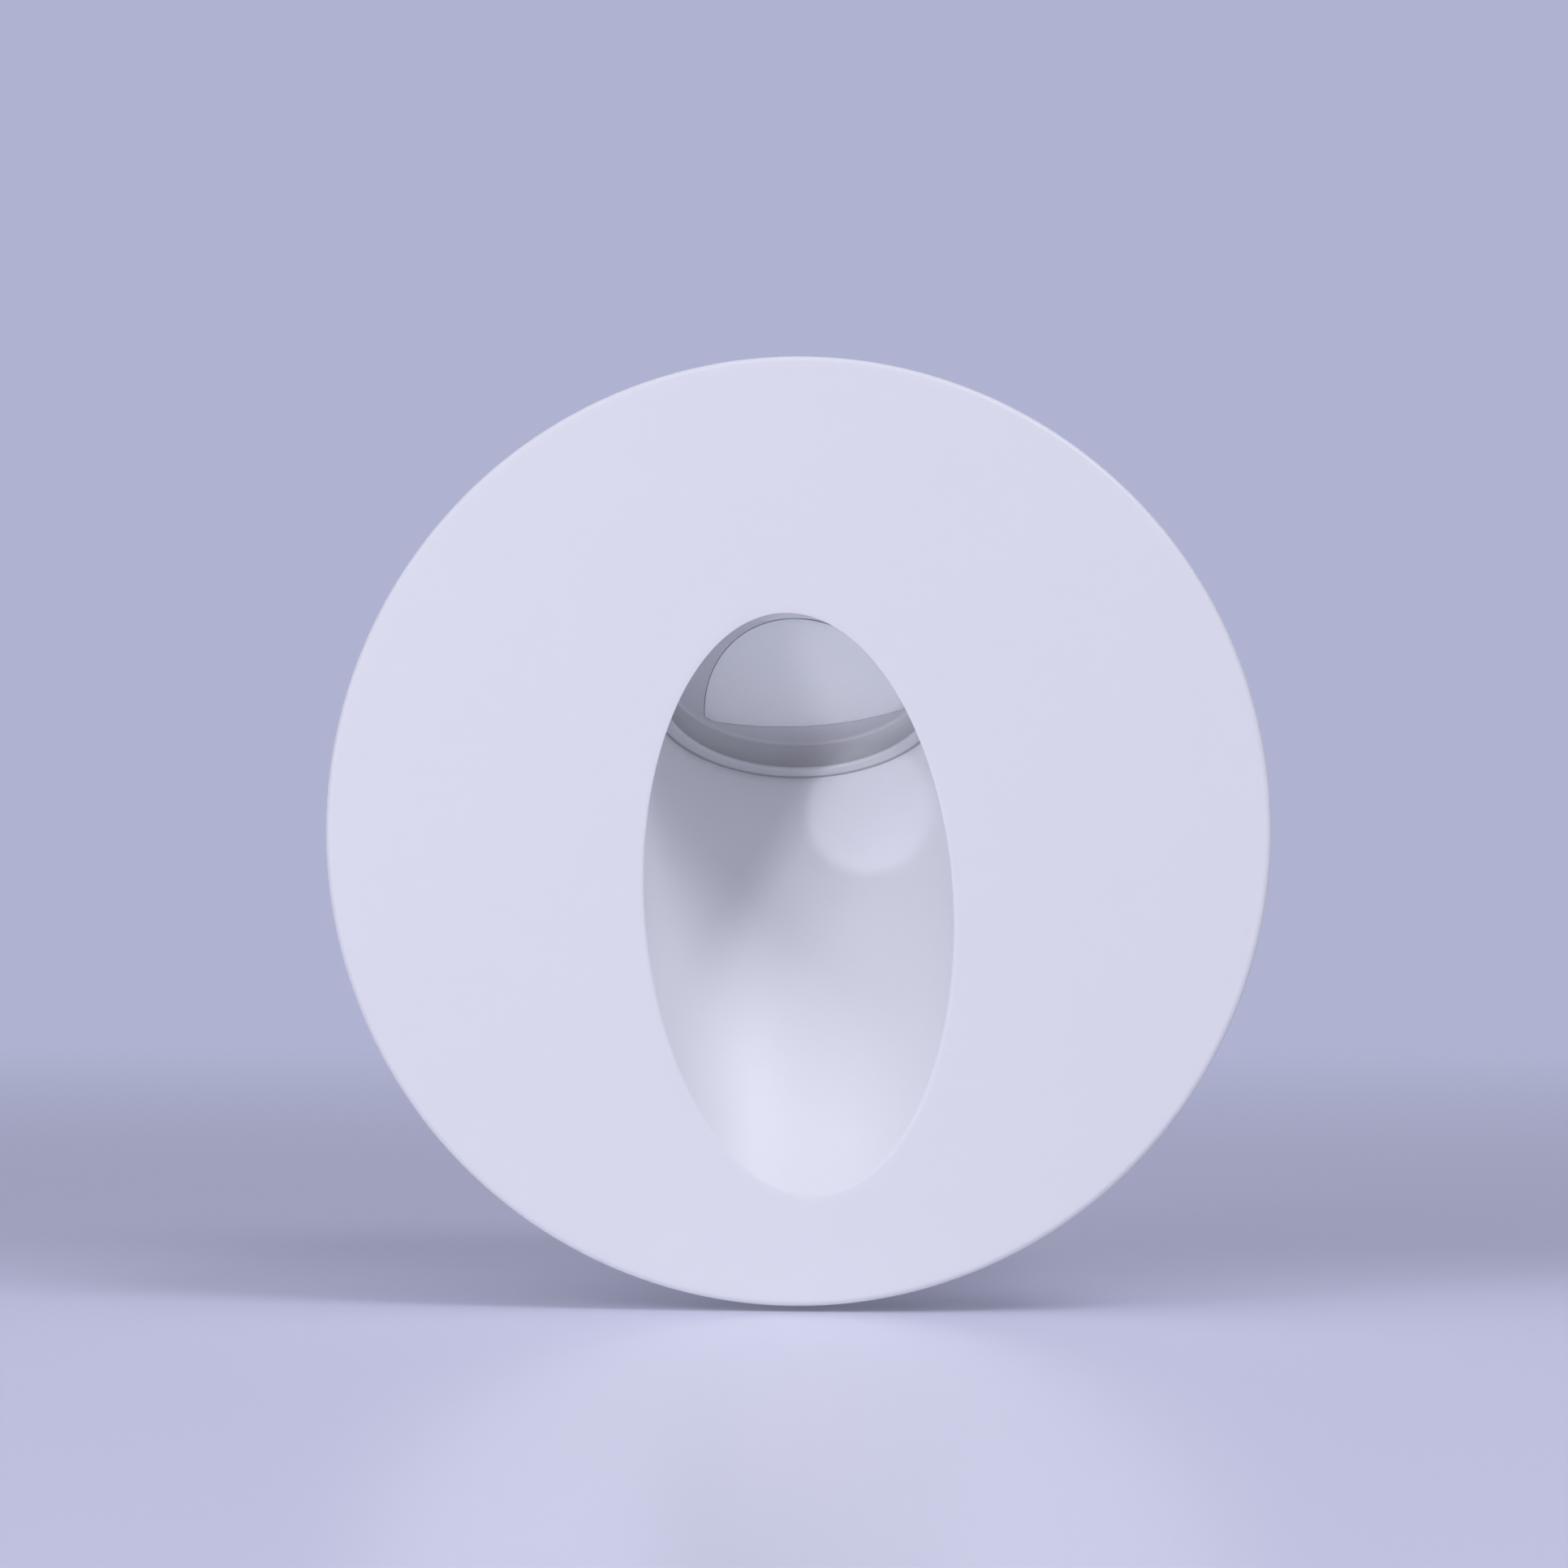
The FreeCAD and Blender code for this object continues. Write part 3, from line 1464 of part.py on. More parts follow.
def clip_sleeve(side):
    outer = block(
        f"sleeve_outer_{side}",
        WORLD,
        (
            "sleeve_start",
            "-arm_gauge / 2 - sleeve_wall - sleeve_gap",
            "-arm_half - sleeve_wall - sleeve_gap",
        ),
        (
            "arm_end + sleeve_tip - sleeve_start",
            "arm_gauge + 2 * (sleeve_wall + sleeve_gap)",
            "2 * (arm_half + sleeve_wall + sleeve_gap)",
        ),
    )
    rounded = doc.addObject("Part::Fillet", f"sleeve_rounded_{side}")
    rounded.Base = outer
    doc.recompute()
    soft_edge = 0.8 * amount_of("sleeve_wall")
    rounded.Edges = [(i + 1, soft_edge, soft_edge) for i in range(len(outer.Shape.Edges))]
    inside = block(
        f"sleeve_inside_{side}",
        WORLD,
        ("sleeve_start - 1", "-arm_gauge / 2 - sleeve_gap", "-arm_half - sleeve_gap"),
        (
            "arm_end + sleeve_gap - sleeve_start + 1",
            "arm_gauge + 2 * sleeve_gap",
            "2 * (arm_half + sleeve_gap)",
        ),
    )
    return arm_frame(less(f"clip_sleeve_{side}", rounded, [inside]), side)


def least_gap(points, wire):
    """The least free space between parts of a wire that lie six radii or more apart along it."""
    gap = math.inf
    for i, point in enumerate(points):
        run = 0.0
        for before, other in zip(points[i:], points[i + 1 :]):
            run += (other - before).Length
            if run > 6 * wire:
                gap = min(gap, (other - point).Length - 2 * wire)
    return gap


def clip_spring(side):
    """A coil of round wire with one leg on the bracket and one behind the arm's blade."""
    coil, rise = amount_of("spring_coil"), amount_of("spring_rise")
    wire, leg = amount_of("spring_wire"), amount_of("spring_leg")
    lean = math.radians(-amount_of("rest_angle"))
    # the coil starts where its fixed leg is tangent; its other leg nears the arm's blade
    nearing = math.radians(5.5)
    first = math.pi
    last = lean + math.pi / 2 - nearing - 2 * math.pi * amount_of("spring_turns")
    quarters = 4 * round(amount_of("spring_turns")) + 2
    step = (last - first) / quarters

    def on_coil(angle):
        height = rise * ((angle - first) / (last - first) - 0.5)
        return FreeCAD.Vector(coil * math.cos(angle), coil * math.sin(angle), height)

    fixed_end = on_coil(first) + FreeCAD.Vector(0, -leg, 0)
    blade_way = FreeCAD.Vector(math.cos(lean - nearing), math.sin(lean - nearing), 0)
    free_end = on_coil(last) + blade_way * leg
    edges = [Part.LineSegment(fixed_end, on_coil(first)).toShape()]
    for i in range(quarters):
        start = first + i * step
        points = [on_coil(start + part * step) for part in (0, 0.5, 1)]
        edges.append(Part.Arc(*points).toShape())
    edges.append(Part.LineSegment(on_coil(last), free_end).toShape())
    path = Part.Wire(edges)
    points = [fixed_end] + [on_coil(first + k * step / 8) for k in range(8 * quarters + 1)]
    points += [on_coil(last) + blade_way * (leg * k / 12) for k in range(1, 13)]
    print(f"clip_spring_{side}: least gap {least_gap(points, wire):.2f} mm")
    spring = doc.addObject("Part::Feature", f"clip_spring_{side}")
    spring.Shape = tube(path, wire)
    frame = LEFT if side == "left" else RIGHT
    return place(spring, frame, "pivot_out", "pivot_depth")


bracket_screws = []
for side, frame in (("right", RIGHT), ("left", LEFT)):
    node(clip_bracket(side, frame))
    node(clip_pin(side, frame))
    node(clip_arm(side))
    node(clip_sleeve(side))
    node(clip_spring(side))
    for tag, level in (("upper", "1"), ("lower", "-1")):
        fixing = screw(
            f"bracket_screw_{tag}_{side}",
            WORLD,
            "0",
            "0",
            "0",
            "board_screw_radius",
            "bracket_screw_length",
            "small_head_radius",
            "small_head_height",
        )
        out = 1 if side == "right" else -1
        fixing.Placement.Rotation = FreeCAD.Rotation(FreeCAD.Vector(0, 1, 0), out * 90)
        fixing.setExpression("Placement.Base.x", formula(f"{out} * bracket_top"))
        fixing.setExpression("Placement.Base.y", formula("bracket_screw_depth"))
        fixing.setExpression("Placement.Base.z", formula(f"{level} * bracket_screw_side"))
        bracket_screws.append(fixing)
node(group("bracket_screws", bracket_screws))

# ---------------------------------------------------------------- check and write
doc.recompute()
faults = [
    f"{item.Label}: {item.State}"
    for item in doc.Objects
    if "Invalid" in item.State or "Error" in item.State
]
faults += [
    f"{item.Label}: bad shape" for item in nodes if item.Shape.isNull() or not item.Shape.isValid()
]
if faults:
    raise RuntimeError("; ".join(faults))

os.makedirs("parts", exist_ok=True)
for item in nodes:
    print(f"{item.Label}: {len(item.Shape.Solids)} solids, {item.Shape.Volume:.1f} mm3")
    item.Shape.exportStep(f"parts/{item.Label}.step")
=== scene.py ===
import math

import bmesh
import bpy
from mathutils import Matrix, Vector


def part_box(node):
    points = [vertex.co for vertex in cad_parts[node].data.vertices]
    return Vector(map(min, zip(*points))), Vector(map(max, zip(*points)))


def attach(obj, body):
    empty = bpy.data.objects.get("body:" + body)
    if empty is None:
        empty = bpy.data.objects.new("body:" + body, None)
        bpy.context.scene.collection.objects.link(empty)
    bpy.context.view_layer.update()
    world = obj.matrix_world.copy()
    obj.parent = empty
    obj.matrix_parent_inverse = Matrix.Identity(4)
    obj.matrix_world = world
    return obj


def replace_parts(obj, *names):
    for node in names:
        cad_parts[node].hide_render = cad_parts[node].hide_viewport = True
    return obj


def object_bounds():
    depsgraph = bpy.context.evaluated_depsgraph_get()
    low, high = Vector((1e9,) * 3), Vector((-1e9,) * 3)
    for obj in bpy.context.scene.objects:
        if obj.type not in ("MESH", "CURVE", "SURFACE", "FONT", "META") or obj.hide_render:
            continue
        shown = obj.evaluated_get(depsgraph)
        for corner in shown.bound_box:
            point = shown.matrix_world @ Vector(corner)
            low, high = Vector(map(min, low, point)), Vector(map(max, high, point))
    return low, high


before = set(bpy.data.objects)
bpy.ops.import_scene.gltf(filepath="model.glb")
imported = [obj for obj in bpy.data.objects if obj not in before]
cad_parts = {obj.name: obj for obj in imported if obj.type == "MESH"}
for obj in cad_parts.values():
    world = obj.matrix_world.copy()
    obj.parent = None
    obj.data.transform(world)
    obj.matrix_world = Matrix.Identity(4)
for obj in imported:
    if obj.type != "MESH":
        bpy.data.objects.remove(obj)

cad_low, cad_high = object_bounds()
MM = 0.001

# ------------------------------------------------------------------ face plate
# The round cover plate and its slanted light bore are one aluminium casting, machined
# flat in front and powder coated satin white. Its rear side carries the lamp's socket,
# the seat in the wall hole and the posts that the housing is screwed to.
ROUND_STEPS = 192
ROD_STEPS = 48
SHARP_ANGLE = math.radians(35)
CLOUD_SIZE = 9.0 * MM
FACE_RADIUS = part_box("face_plate")[1].x
FACE_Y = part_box("face_plate")[0].y
FACE_EDGE = 0.5 * MM
FACE_BACK_EDGE = 0.4 * MM
LIP_EDGE = 0.25 * MM
GASKET_OUTER = FACE_RADIUS - 1.6 * MM
GASKET_INNER = GASKET_OUTER - 5.0 * MM
GASKET_DEPTH = 1.0 * MM
SEAT_HEIGHT = 0.6 * MM
FLAT_SPREAD = 1.0 * MM
RIM_SPREAD = 1.04
BORE_RADIUS = 13.0 * MM
SOCKET_RADIUS = 13.6 * MM
SOCKET_OUTER = 14.9 * MM
BORE_END = 24.5 * MM
SOCKET_END = 33.0 * MM
MOUTH_DROP = 6.3 * MM
LIGHT_TILT = math.radians(32)
SPIGOT_INNER = 28.6 * MM
SPIGOT_OUTER = 30.3 * MM
SPIGOT_END = 3.8 * MM
POST_RADIUS = 3.0 * MM
POST_HOLE = 1.5 * MM
POST_DEPTH = 14.0 * MM
POST_CIRCLE = 26.6 * MM
POST_TURN = math.radians(30)
POST_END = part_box("face_plate")[1].y
BOSS_RADIUS = 2.4 * MM
BOSS_HOLE = 1.25 * MM
BOSS_LENGTH = 9.4 * MM
BOSS_HOLE_DEPTH = 8.4 * MM
BOSS_SIDE = 15.8 * MM
BOSS_DROP = 5.0 * MM
BOSS_END = 33.4 * MM
OVERSHOOT = 2.5

# local Z runs into the wall, or up the slanted bore from the middle of its mouth
WALL = Matrix.Rotation(-math.pi / 2, 4, "X")
LIGHT = Matrix.Translation((0, FACE_Y, -MOUTH_DROP)) @ Matrix.Rotation(-LIGHT_TILT, 4, "X")


def finish(name, colour, shade, roughness, grain, relief, metallic=0.0):
    """A surface whose colour and gloss vary a little, with a fine relief.

    The shade is the part by which the colour varies, and the roughness runs between two
    values. The grain is the size of the relief's bumps, and the relief is their height.
    """
    made = bpy.data.materials.new(name)
    made.use_nodes = True
    nodes, links = made.node_tree.nodes, made.node_tree.links
    shader = nodes["Principled BSDF"]
    shader.inputs["Metallic"].default_value = metallic
    place = nodes.new("ShaderNodeTexCoord")
    clouds = nodes.new("ShaderNodeTexNoise")
    clouds.inputs["Scale"].default_value = 1 / CLOUD_SIZE
    clouds.inputs["Detail"].default_value = 3
    links.new(place.outputs["Object"], clouds.inputs["Vector"])
    tint = nodes.new("ShaderNodeMix")
    tint.data_type = "RGBA"
    tint.inputs["A"].default_value = (*[c * (1 - shade) for c in colour], 1)
    tint.inputs["B"].default_value = (*[min(1, c * (1 + shade)) for c in colour], 1)
    links.new(clouds.outputs["Fac"], tint.inputs["Factor"])
    links.new(tint.outputs["Result"], shader.inputs["Base Color"])
    grains = nodes.new("ShaderNodeTexNoise")
    grains.inputs["Scale"].default_value = 1 / grain
    grains.inputs["Detail"].default_value = 4
    links.new(place.outputs["Object"], grains.inputs["Vector"])
    gloss = nodes.new("ShaderNodeMapRange")
    gloss.inputs["To Min"].default_value = roughness[0]
    gloss.inputs["To Max"].default_value = roughness[1]
    links.new(grains.outputs["Fac"], gloss.inputs["Value"])
    links.new(gloss.outputs["Result"], shader.inputs["Roughness"])
    bump = nodes.new("ShaderNodeBump")
    bump.inputs["Strength"].default_value = 1.0
    bump.inputs["Distance"].default_value = relief
    links.new(grains.outputs["Fac"], bump.inputs["Height"])
    links.new(bump.outputs["Normal"], shader.inputs["Normal"])
    return made


def ring_verts(bm, radius, place):
    """A circle of vertices about the frame's Z axis."""
    return bmesh.ops.create_circle(bm, radius=radius, segments=ROUND_STEPS, matrix=place)["verts"]


def once(items):
    """The items in their order, each of them once."""
    return list(dict.fromkeys(items))


def edges_among(verts):
    """The edges whose two ends are both among the vertices."""
    chosen = set(verts)
    return [e for e in once(e for v in verts for e in v.link_edges) if chosen.issuperset(e.verts)]


def drawn_on(bm, verts, about, shift=(0, 0, 0), size=1.0):
    """Extrude an open ring, then shift it and change its size about the frame's Z axis."""
    made = bmesh.ops.extrude_edge_only(bm, edges=edges_among(verts))["geom"]
    fresh = [item for item in made if isinstance(item, bmesh.types.BMVert)]
    turned_back = about.inverted()
    bmesh.ops.scale(bm, verts=fresh, vec=(size, size, 1), space=turned_back)
    bmesh.ops.translate(bm, verts=fresh, vec=about.to_3x3() @ Vector(shift))
    return fresh


def spun(bm, outline, place, closed=True):
    """Spin an outline of (radius, height) pairs about the frame's Z axis."""
    verts = [bm.verts.new(place @ Vector((radius, 0, height))) for radius, height in outline]
    pairs = list(zip(verts, verts[1:])) + ([(verts[-1], verts[0])] if closed else [])
    edges = [bm.edges.new(pair) for pair in pairs]
    before = set(bm.verts) - set(verts)
    bmesh.ops.spin(
        bm,
        geom=verts + edges,
        cent=place.to_translation(),
        axis=place.to_3x3() @ Vector((0, 0, 1)),
        angle=2 * math.pi,
        steps=ROUND_STEPS,
        use_merge=True,
    )
    made = [v for v in bm.verts if v not in before]
    bmesh.ops.remove_doubles(bm, verts=made, dist=0.001 * MM)
    return [v for v in bm.verts if v not in before]


def ring_at(bm, radius, height, place):
    """The edges of the ring of that radius and height about the frame's Z axis."""
    inverse = place.inverted()

    def on_ring(vert):
        local = inverse @ vert.co
        close = 0.002 * MM
        return abs(local.xy.length - radius) < close and abs(local.z - height) < close

    return edges_among([v for v in bm.verts if on_ring(v)])


def rounded(bm, edges, size, steps):
    """Round edges off to that radius."""
    bmesh.ops.bevel(
        bm,
        geom=edges,
        offset=size,
        offset_type="OFFSET",
        segments=steps,
        profile=0.5,
        affect="EDGES",
        material=-1,
    )


def drilled_rod(bm, radius, hole, depth, length, place):
    """A round post from the frame's origin along Z, with a blind hole in its far end."""
    middle = place @ Matrix.Translation((0, 0, length / 2))
    rod = bmesh.ops.create_cone(
        bm,
        cap_ends=True,
        segments=ROD_STEPS,
        radius1=radius,
        radius2=radius,
        depth=length,
        matrix=middle,
    )["verts"]
    way = place.to_3x3() @ Vector((0, 0, 1))
    faces = once(f for v in rod for f in v.link_faces)
    end = max(faces, key=lambda f: f.calc_center_median() @ way)
    bmesh.ops.inset_region(bm, faces=[end], thickness=radius - hole, use_even_offset=True)
    walls = bmesh.ops.extrude_discrete_faces(bm, faces=[end])["faces"]
    bmesh.ops.translate(bm, verts=walls[0].verts, vec=-way * depth)


def new_piece(name, bm, material, body="fixture"):
    """Close up a mesh as a piece that rides on a body of the frame."""
    bmesh.ops.recalc_face_normals(bm, faces=bm.faces)
    for face in bm.faces:
        face.smooth = True
    for edge in bm.edges:
        edge.smooth = len(edge.link_faces) < 2 or edge.calc_face_angle() < SHARP_ANGLE
    mesh = bpy.data.meshes.new(name)
    bm.to_mesh(mesh)
    bm.free()
    mesh.materials.append(material)
    piece = bpy.data.objects.new(name, mesh)
    bpy.context.scene.collection.objects.link(piece)
    even = piece.modifiers.new("even_shading", "WEIGHTED_NORMAL")
    even.keep_sharp = True
    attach(piece, body)
    return piece


bm = bmesh.new()
plate_outline = [
    (FACE_RADIUS - FLAT_SPREAD, FACE_Y),
    (FACE_RADIUS, FACE_Y),
    (FACE_RADIUS, 0),
    (GASKET_OUTER, 0),
    (GASKET_OUTER, -GASKET_DEPTH),
    (GASKET_INNER, -GASKET_DEPTH),
    (GASKET_INNER, SEAT_HEIGHT),
    (GASKET_INNER - FLAT_SPREAD, SEAT_HEIGHT),
]
spun(bm, plate_outline, WALL, closed=False)
rounded(bm, ring_at(bm, FACE_RADIUS, FACE_Y, WALL), FACE_EDGE, steps=6)
rounded(bm, ring_at(bm, FACE_RADIUS, 0, WALL), FACE_BACK_EDGE, steps=4)

# the bore runs down from the lamp's seat until the front plane cuts it to the oval mouth
bore_top = ring_verts(bm, BORE_RADIUS, LIGHT @ Matrix.Translation((0, 0, BORE_END)))
bore_foot = drawn_on(bm, bore_top, LIGHT, shift=(0, 0, -OVERSHOOT * BORE_END))
bore_faces = once(f for v in bore_foot for f in v.link_faces)
bore_edges = once(e for f in bore_faces for e in f.edges)
cut = bmesh.ops.bisect_plane(
    bm,
    geom=bore_faces + bore_edges + bore_top + bore_foot,
    plane_co=(0, FACE_Y, 0),
    plane_no=(0, -1, 0),
    clear_outer=True,
)["geom_cut"]
mouth = [item for item in cut if isinstance(item, bmesh.types.BMVert)]
socket_step = drawn_on(bm, bore_top, LIGHT, size=SOCKET_RADIUS / BORE_RADIUS)
socket_top = drawn_on(bm, socket_step, LIGHT, shift=(0, 0, SOCKET_END - BORE_END))
tube_top = drawn_on(bm, socket_top, LIGHT, size=SOCKET_OUTER / SOCKET_RADIUS)
tube_foot = drawn_on(bm, tube_top, LIGHT, shift=(0, 0, -OVERSHOOT * SOCKET_END))
tube_faces = once(f for v in tube_foot for f in v.link_faces)
tube_edges = once(e for f in tube_faces for e in f.edges)
cut = bmesh.ops.bisect_plane(
    bm,
    geom=tube_faces + tube_edges + tube_top + tube_foot,
    plane_co=(0, SEAT_HEIGHT, 0),
    plane_no=(0, -1, 0),
    clear_outer=True,
)["geom_cut"]
tube_root = [item for item in cut if isinstance(item, bmesh.types.BMVert)]
front_ring = ring_at(bm, FACE_RADIUS - FLAT_SPREAD, FACE_Y, WALL)
rear_ring = ring_at(bm, GASKET_INNER - FLAT_SPREAD, SEAT_HEIGHT, WALL)
for opening, ring in ((mouth, front_ring), (tube_root, rear_ring)):
    middle = sum((v.co for v in opening), Vector()) / len(opening)
    rim = drawn_on(bm, opening, Matrix.Translation(middle) @ WALL, size=RIM_SPREAD)
    bmesh.ops.triangle_fill(bm, use_beauty=True, edges=ring + edges_among(rim), normal=(0, -1, 0))
rounded(bm, edges_among(mouth), LIP_EDGE, steps=3)

# the spigot and the posts start a little inside the plate, the bosses stand in the tube's wall
sunk = SEAT_HEIGHT / 2
spun(
    bm,
    [
        (SPIGOT_INNER, sunk),
        (SPIGOT_OUTER, sunk),
        (SPIGOT_OUTER, SPIGOT_END),
        (SPIGOT_INNER, SPIGOT_END),
    ],
    WALL,
)
for across in (-1, 1):
    for up in (-1, 1):
        foot = (
            across * POST_CIRCLE * math.cos(POST_TURN),
            up * POST_CIRCLE * math.sin(POST_TURN),
            sunk,
        )
        post = WALL @ Matrix.Translation(foot)
        drilled_rod(bm, POST_RADIUS, POST_HOLE, POST_DEPTH, POST_END - sunk, post)
    boss = LIGHT @ Matrix.Translation((across * BOSS_SIDE, BOSS_DROP, BOSS_END - BOSS_LENGTH))
    drilled_rod(bm, BOSS_RADIUS, BOSS_HOLE, BOSS_HOLE_DEPTH, BOSS_LENGTH, boss)

white_coat = finish(
    "satin_white_coat", (0.86, 0.86, 0.87), 0.006, (0.42, 0.5), 0.35 * MM, 0.0015 * MM
)
face_plate = new_piece("face_plate_casting", bm, white_coat)
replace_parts(face_plate, "face_plate")

# ------------------------------------------------------------------ lens ring
# A thin gloss white ring frames the lens unit and ends the bore with a bright line. It is
# moulded plastic, pressed on the front of the lens cup inside a rubber sleeve.
RING_FRONT = 21.2 * MM
RING_BACK = 21.5 * MM
RING_INNER = 11.7 * MM
RING_OUTER = 12.7 * MM
RING_EDGE = 0.15 * MM

bm = bmesh.new()
spun(
    bm,
    [
        (RING_INNER, RING_FRONT),
        (RING_OUTER, RING_FRONT),
        (RING_OUTER, RING_BACK),
        (RING_INNER, RING_BACK),
    ],
    LIGHT,
)
rounded(bm, ring_at(bm, RING_INNER, RING_FRONT, LIGHT), RING_EDGE, steps=6)
ring_gloss = finish("gloss_white_ring", (0.68, 0.68, 0.69), 0.01, (0.16, 0.22), 0.6 * MM, 0.0008 * MM)
lens_ring = new_piece("lens_ring_moulding", bm, ring_gloss)
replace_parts(lens_ring, "lens_ring")

# ------------------------------------------------------------------ lens cup
# The grey cup behind the ring hides the board. Its satin floor has a window, cut straight
# from the front with a shallow foot, whose lip holds the lens against the reflector.
CUP_FLOOR = 24.0 * MM
LENS_SEAT = 24.6 * MM
CUP_BACK = 31.8 * MM
CUP_OUTER = 13.45 * MM
CUP_CAVITY = 11.8 * MM
CUP_COVE = 0.3 * MM
CUP_FLAT = RING_INNER - CUP_COVE - 0.1 * MM
# how deep the cup's painted shade gets at the ring: its colour is multiplied down to this there
CUP_PAINTED_RIM_SHADE = 0.6
WINDOW_RADIUS = 9.2 * MM
WINDOW_LEVEL = 9.0 * MM
WINDOW_FOOT = 8.95 * MM
WINDOW_FOOT_RADIUS = 21.5 * MM
WINDOW_LIMIT = 11.1 * MM


def window_ring(bm, inset, height):
    """The window's outline at that height up the light's axis, as its outermost edges.

    From the front it is a circle above a shallow curved foot, and it stays inside the cup.
    Each point lies as far from the light's axis as the nearest of the three limits.
    """
    slope = math.sin(LIGHT_TILT)
    lift = height * math.cos(LIGHT_TILT) - MOUTH_DROP - WINDOW_LEVEL
    foot_middle = WINDOW_FOOT - WINDOW_FOOT_RADIUS
    verts = []
    for step in range(ROUND_STEPS):
        turn = 2 * math.pi * step / ROUND_STEPS
        x, y = math.cos(turn), math.sin(turn)
        a = x * x + (slope * y) ** 2
        b = slope * y * lift
        c = lift**2 - (WINDOW_RADIUS - inset) ** 2
        round_reach = (b + math.sqrt(b * b - a * c)) / a
        across = foot_middle * x
        foot_reach = foot_middle * y + math.sqrt((WINDOW_FOOT_RADIUS - inset) ** 2 - across**2)
        reach = min(round_reach, foot_reach, WINDOW_LIMIT - inset)
        verts.append(bm.verts.new(LIGHT @ Vector((reach * x, reach * y, height))))
    return [bm.edges.new(pair) for pair in zip(verts, verts[1:] + verts[:1])]


def capped(bm, edges):
    """Close the flat room within or between loops that lie across the light's axis."""
    across = LIGHT.to_3x3() @ Vector((0, 0, -1))
    bmesh.ops.triangle_fill(bm, use_beauty=True, edges=edges, normal=across)


bm = bmesh.new()
spun(
    bm,
    [
        (CUP_FLAT, CUP_FLOOR),
        (RING_INNER, CUP_FLOOR),
        (RING_INNER, RING_BACK),
        (RING_OUTER, RING_BACK),
        (RING_OUTER, LENS_SEAT),
        (CUP_OUTER, LENS_SEAT),
        (CUP_OUTER, CUP_BACK),
        (CUP_CAVITY, CUP_BACK),
        (CUP_CAVITY, LENS_SEAT),
    ],
    LIGHT,
    closed=False,
)
rounded(bm, ring_at(bm, RING_INNER, CUP_FLOOR, LIGHT), CUP_COVE, steps=6)
window_front = window_ring(bm, 0, CUP_FLOOR)
window_back = window_ring(bm, 0, LENS_SEAT)
floor_edge = ring_at(bm, CUP_FLAT, CUP_FLOOR, LIGHT)
bmesh.ops.bridge_loops(bm, edges=window_front + window_back)
capped(bm, floor_edge + window_front)
capped(bm, ring_at(bm, CUP_CAVITY, LENS_SEAT, LIGHT) + window_back)
cup_skin = finish("satin_grey_cup", (0.68, 0.68, 0.69), 0.03, (0.4, 0.5), 0.5 * MM, 0.002 * MM)

# painted shade: the grey is painted darker from the floor towards the ring, where shade falls in the
# cup's recess
LIGHT_AXIS = LIGHT.to_3x3() @ Vector((0, 0, 1))
nodes, links = cup_skin.node_tree.nodes, cup_skin.node_tree.links
along = nodes.new("ShaderNodeVectorMath")
along.operation = "DOT_PRODUCT"
along.inputs[1].default_value = LIGHT_AXIS
links.new(nodes["Texture Coordinate"].outputs["Object"], along.inputs[0])
depth = nodes.new("ShaderNodeMapRange")
depth.inputs["From Min"].default_value = LIGHT.to_translation() @ LIGHT_AXIS + RING_BACK
depth.inputs["From Max"].default_value = LIGHT.to_translation() @ LIGHT_AXIS + CUP_FLOOR
depth.inputs["To Min"].default_value = CUP_PAINTED_RIM_SHADE
links.new(along.outputs["Value"], depth.inputs["Value"])
# painted shade: the cup's colour is multiplied by the ramp, darker towards the ring
painted_rim_shade = nodes.new("ShaderNodeMix")
painted_rim_shade.data_type = "RGBA"
painted_rim_shade.blend_type = "MULTIPLY"
painted_rim_shade.inputs["Factor"].default_value = 1
links.new(nodes["Mix"].outputs["Result"], painted_rim_shade.inputs["A"])
links.new(depth.outputs["Result"], painted_rim_shade.inputs["B"])
links.new(painted_rim_shade.outputs["Result"], nodes["Principled BSDF"].inputs["Base Color"])
lens_cup = new_piece("lens_cup_moulding", bm, cup_skin)
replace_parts(lens_cup, "lens_cup")

# ------------------------------------------------------------------ lens
# A frosted acrylic plate fills the cup's window and has a round flange behind its floor.
# Its etched front scatters the light, so the lamp behind it doesn't show.
LENS_GAP = 0.1 * MM
LENS_FIT = 0.05 * MM
LENS_BACK = 26.4 * MM
LENS_EDGE = 0.03 * MM

bm = bmesh.new()
spun(
    bm,
    [
        (0, LENS_SEAT),
        (CUP_CAVITY - LENS_GAP, LENS_SEAT),
        (CUP_CAVITY - LENS_GAP, LENS_BACK),
        (0, LENS_BACK),
    ],
    LIGHT,
    closed=False,
)
face_edges = window_ring(bm, LENS_FIT, CUP_FLOOR)
sunk_edges = window_ring(bm, LENS_FIT, LENS_SEAT + LENS_GAP)
bmesh.ops.bridge_loops(bm, edges=face_edges + sunk_edges)
capped(bm, sunk_edges)
capped(bm, face_edges)
rounded(bm, face_edges, LENS_EDGE, steps=3)
frosting = finish("frosted_lens", (0.96, 0.96, 0.95), 0.01, (0.5, 0.6), 0.15 * MM, 0.003 * MM)
shader = frosting.node_tree.nodes["Principled BSDF"]
shader.inputs["Subsurface Weight"].default_value = 0.15
shader.inputs["Subsurface Scale"].default_value = 1 * MM
lens = new_piece("lens_plate", bm, frosting)
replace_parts(lens, "lens")

# ------------------------------------------------------------------ seals
# Foam and rubber rings keep water out: behind the plate, round the lens ring, between
# plate and housing, under the rear cover and in the cable gland.


def dressed(material, *nodes):
    """Give CAD nodes their finish."""
    for node in nodes:
        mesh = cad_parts[node].data
        mesh.materials.clear()
        mesh.materials.append(material)


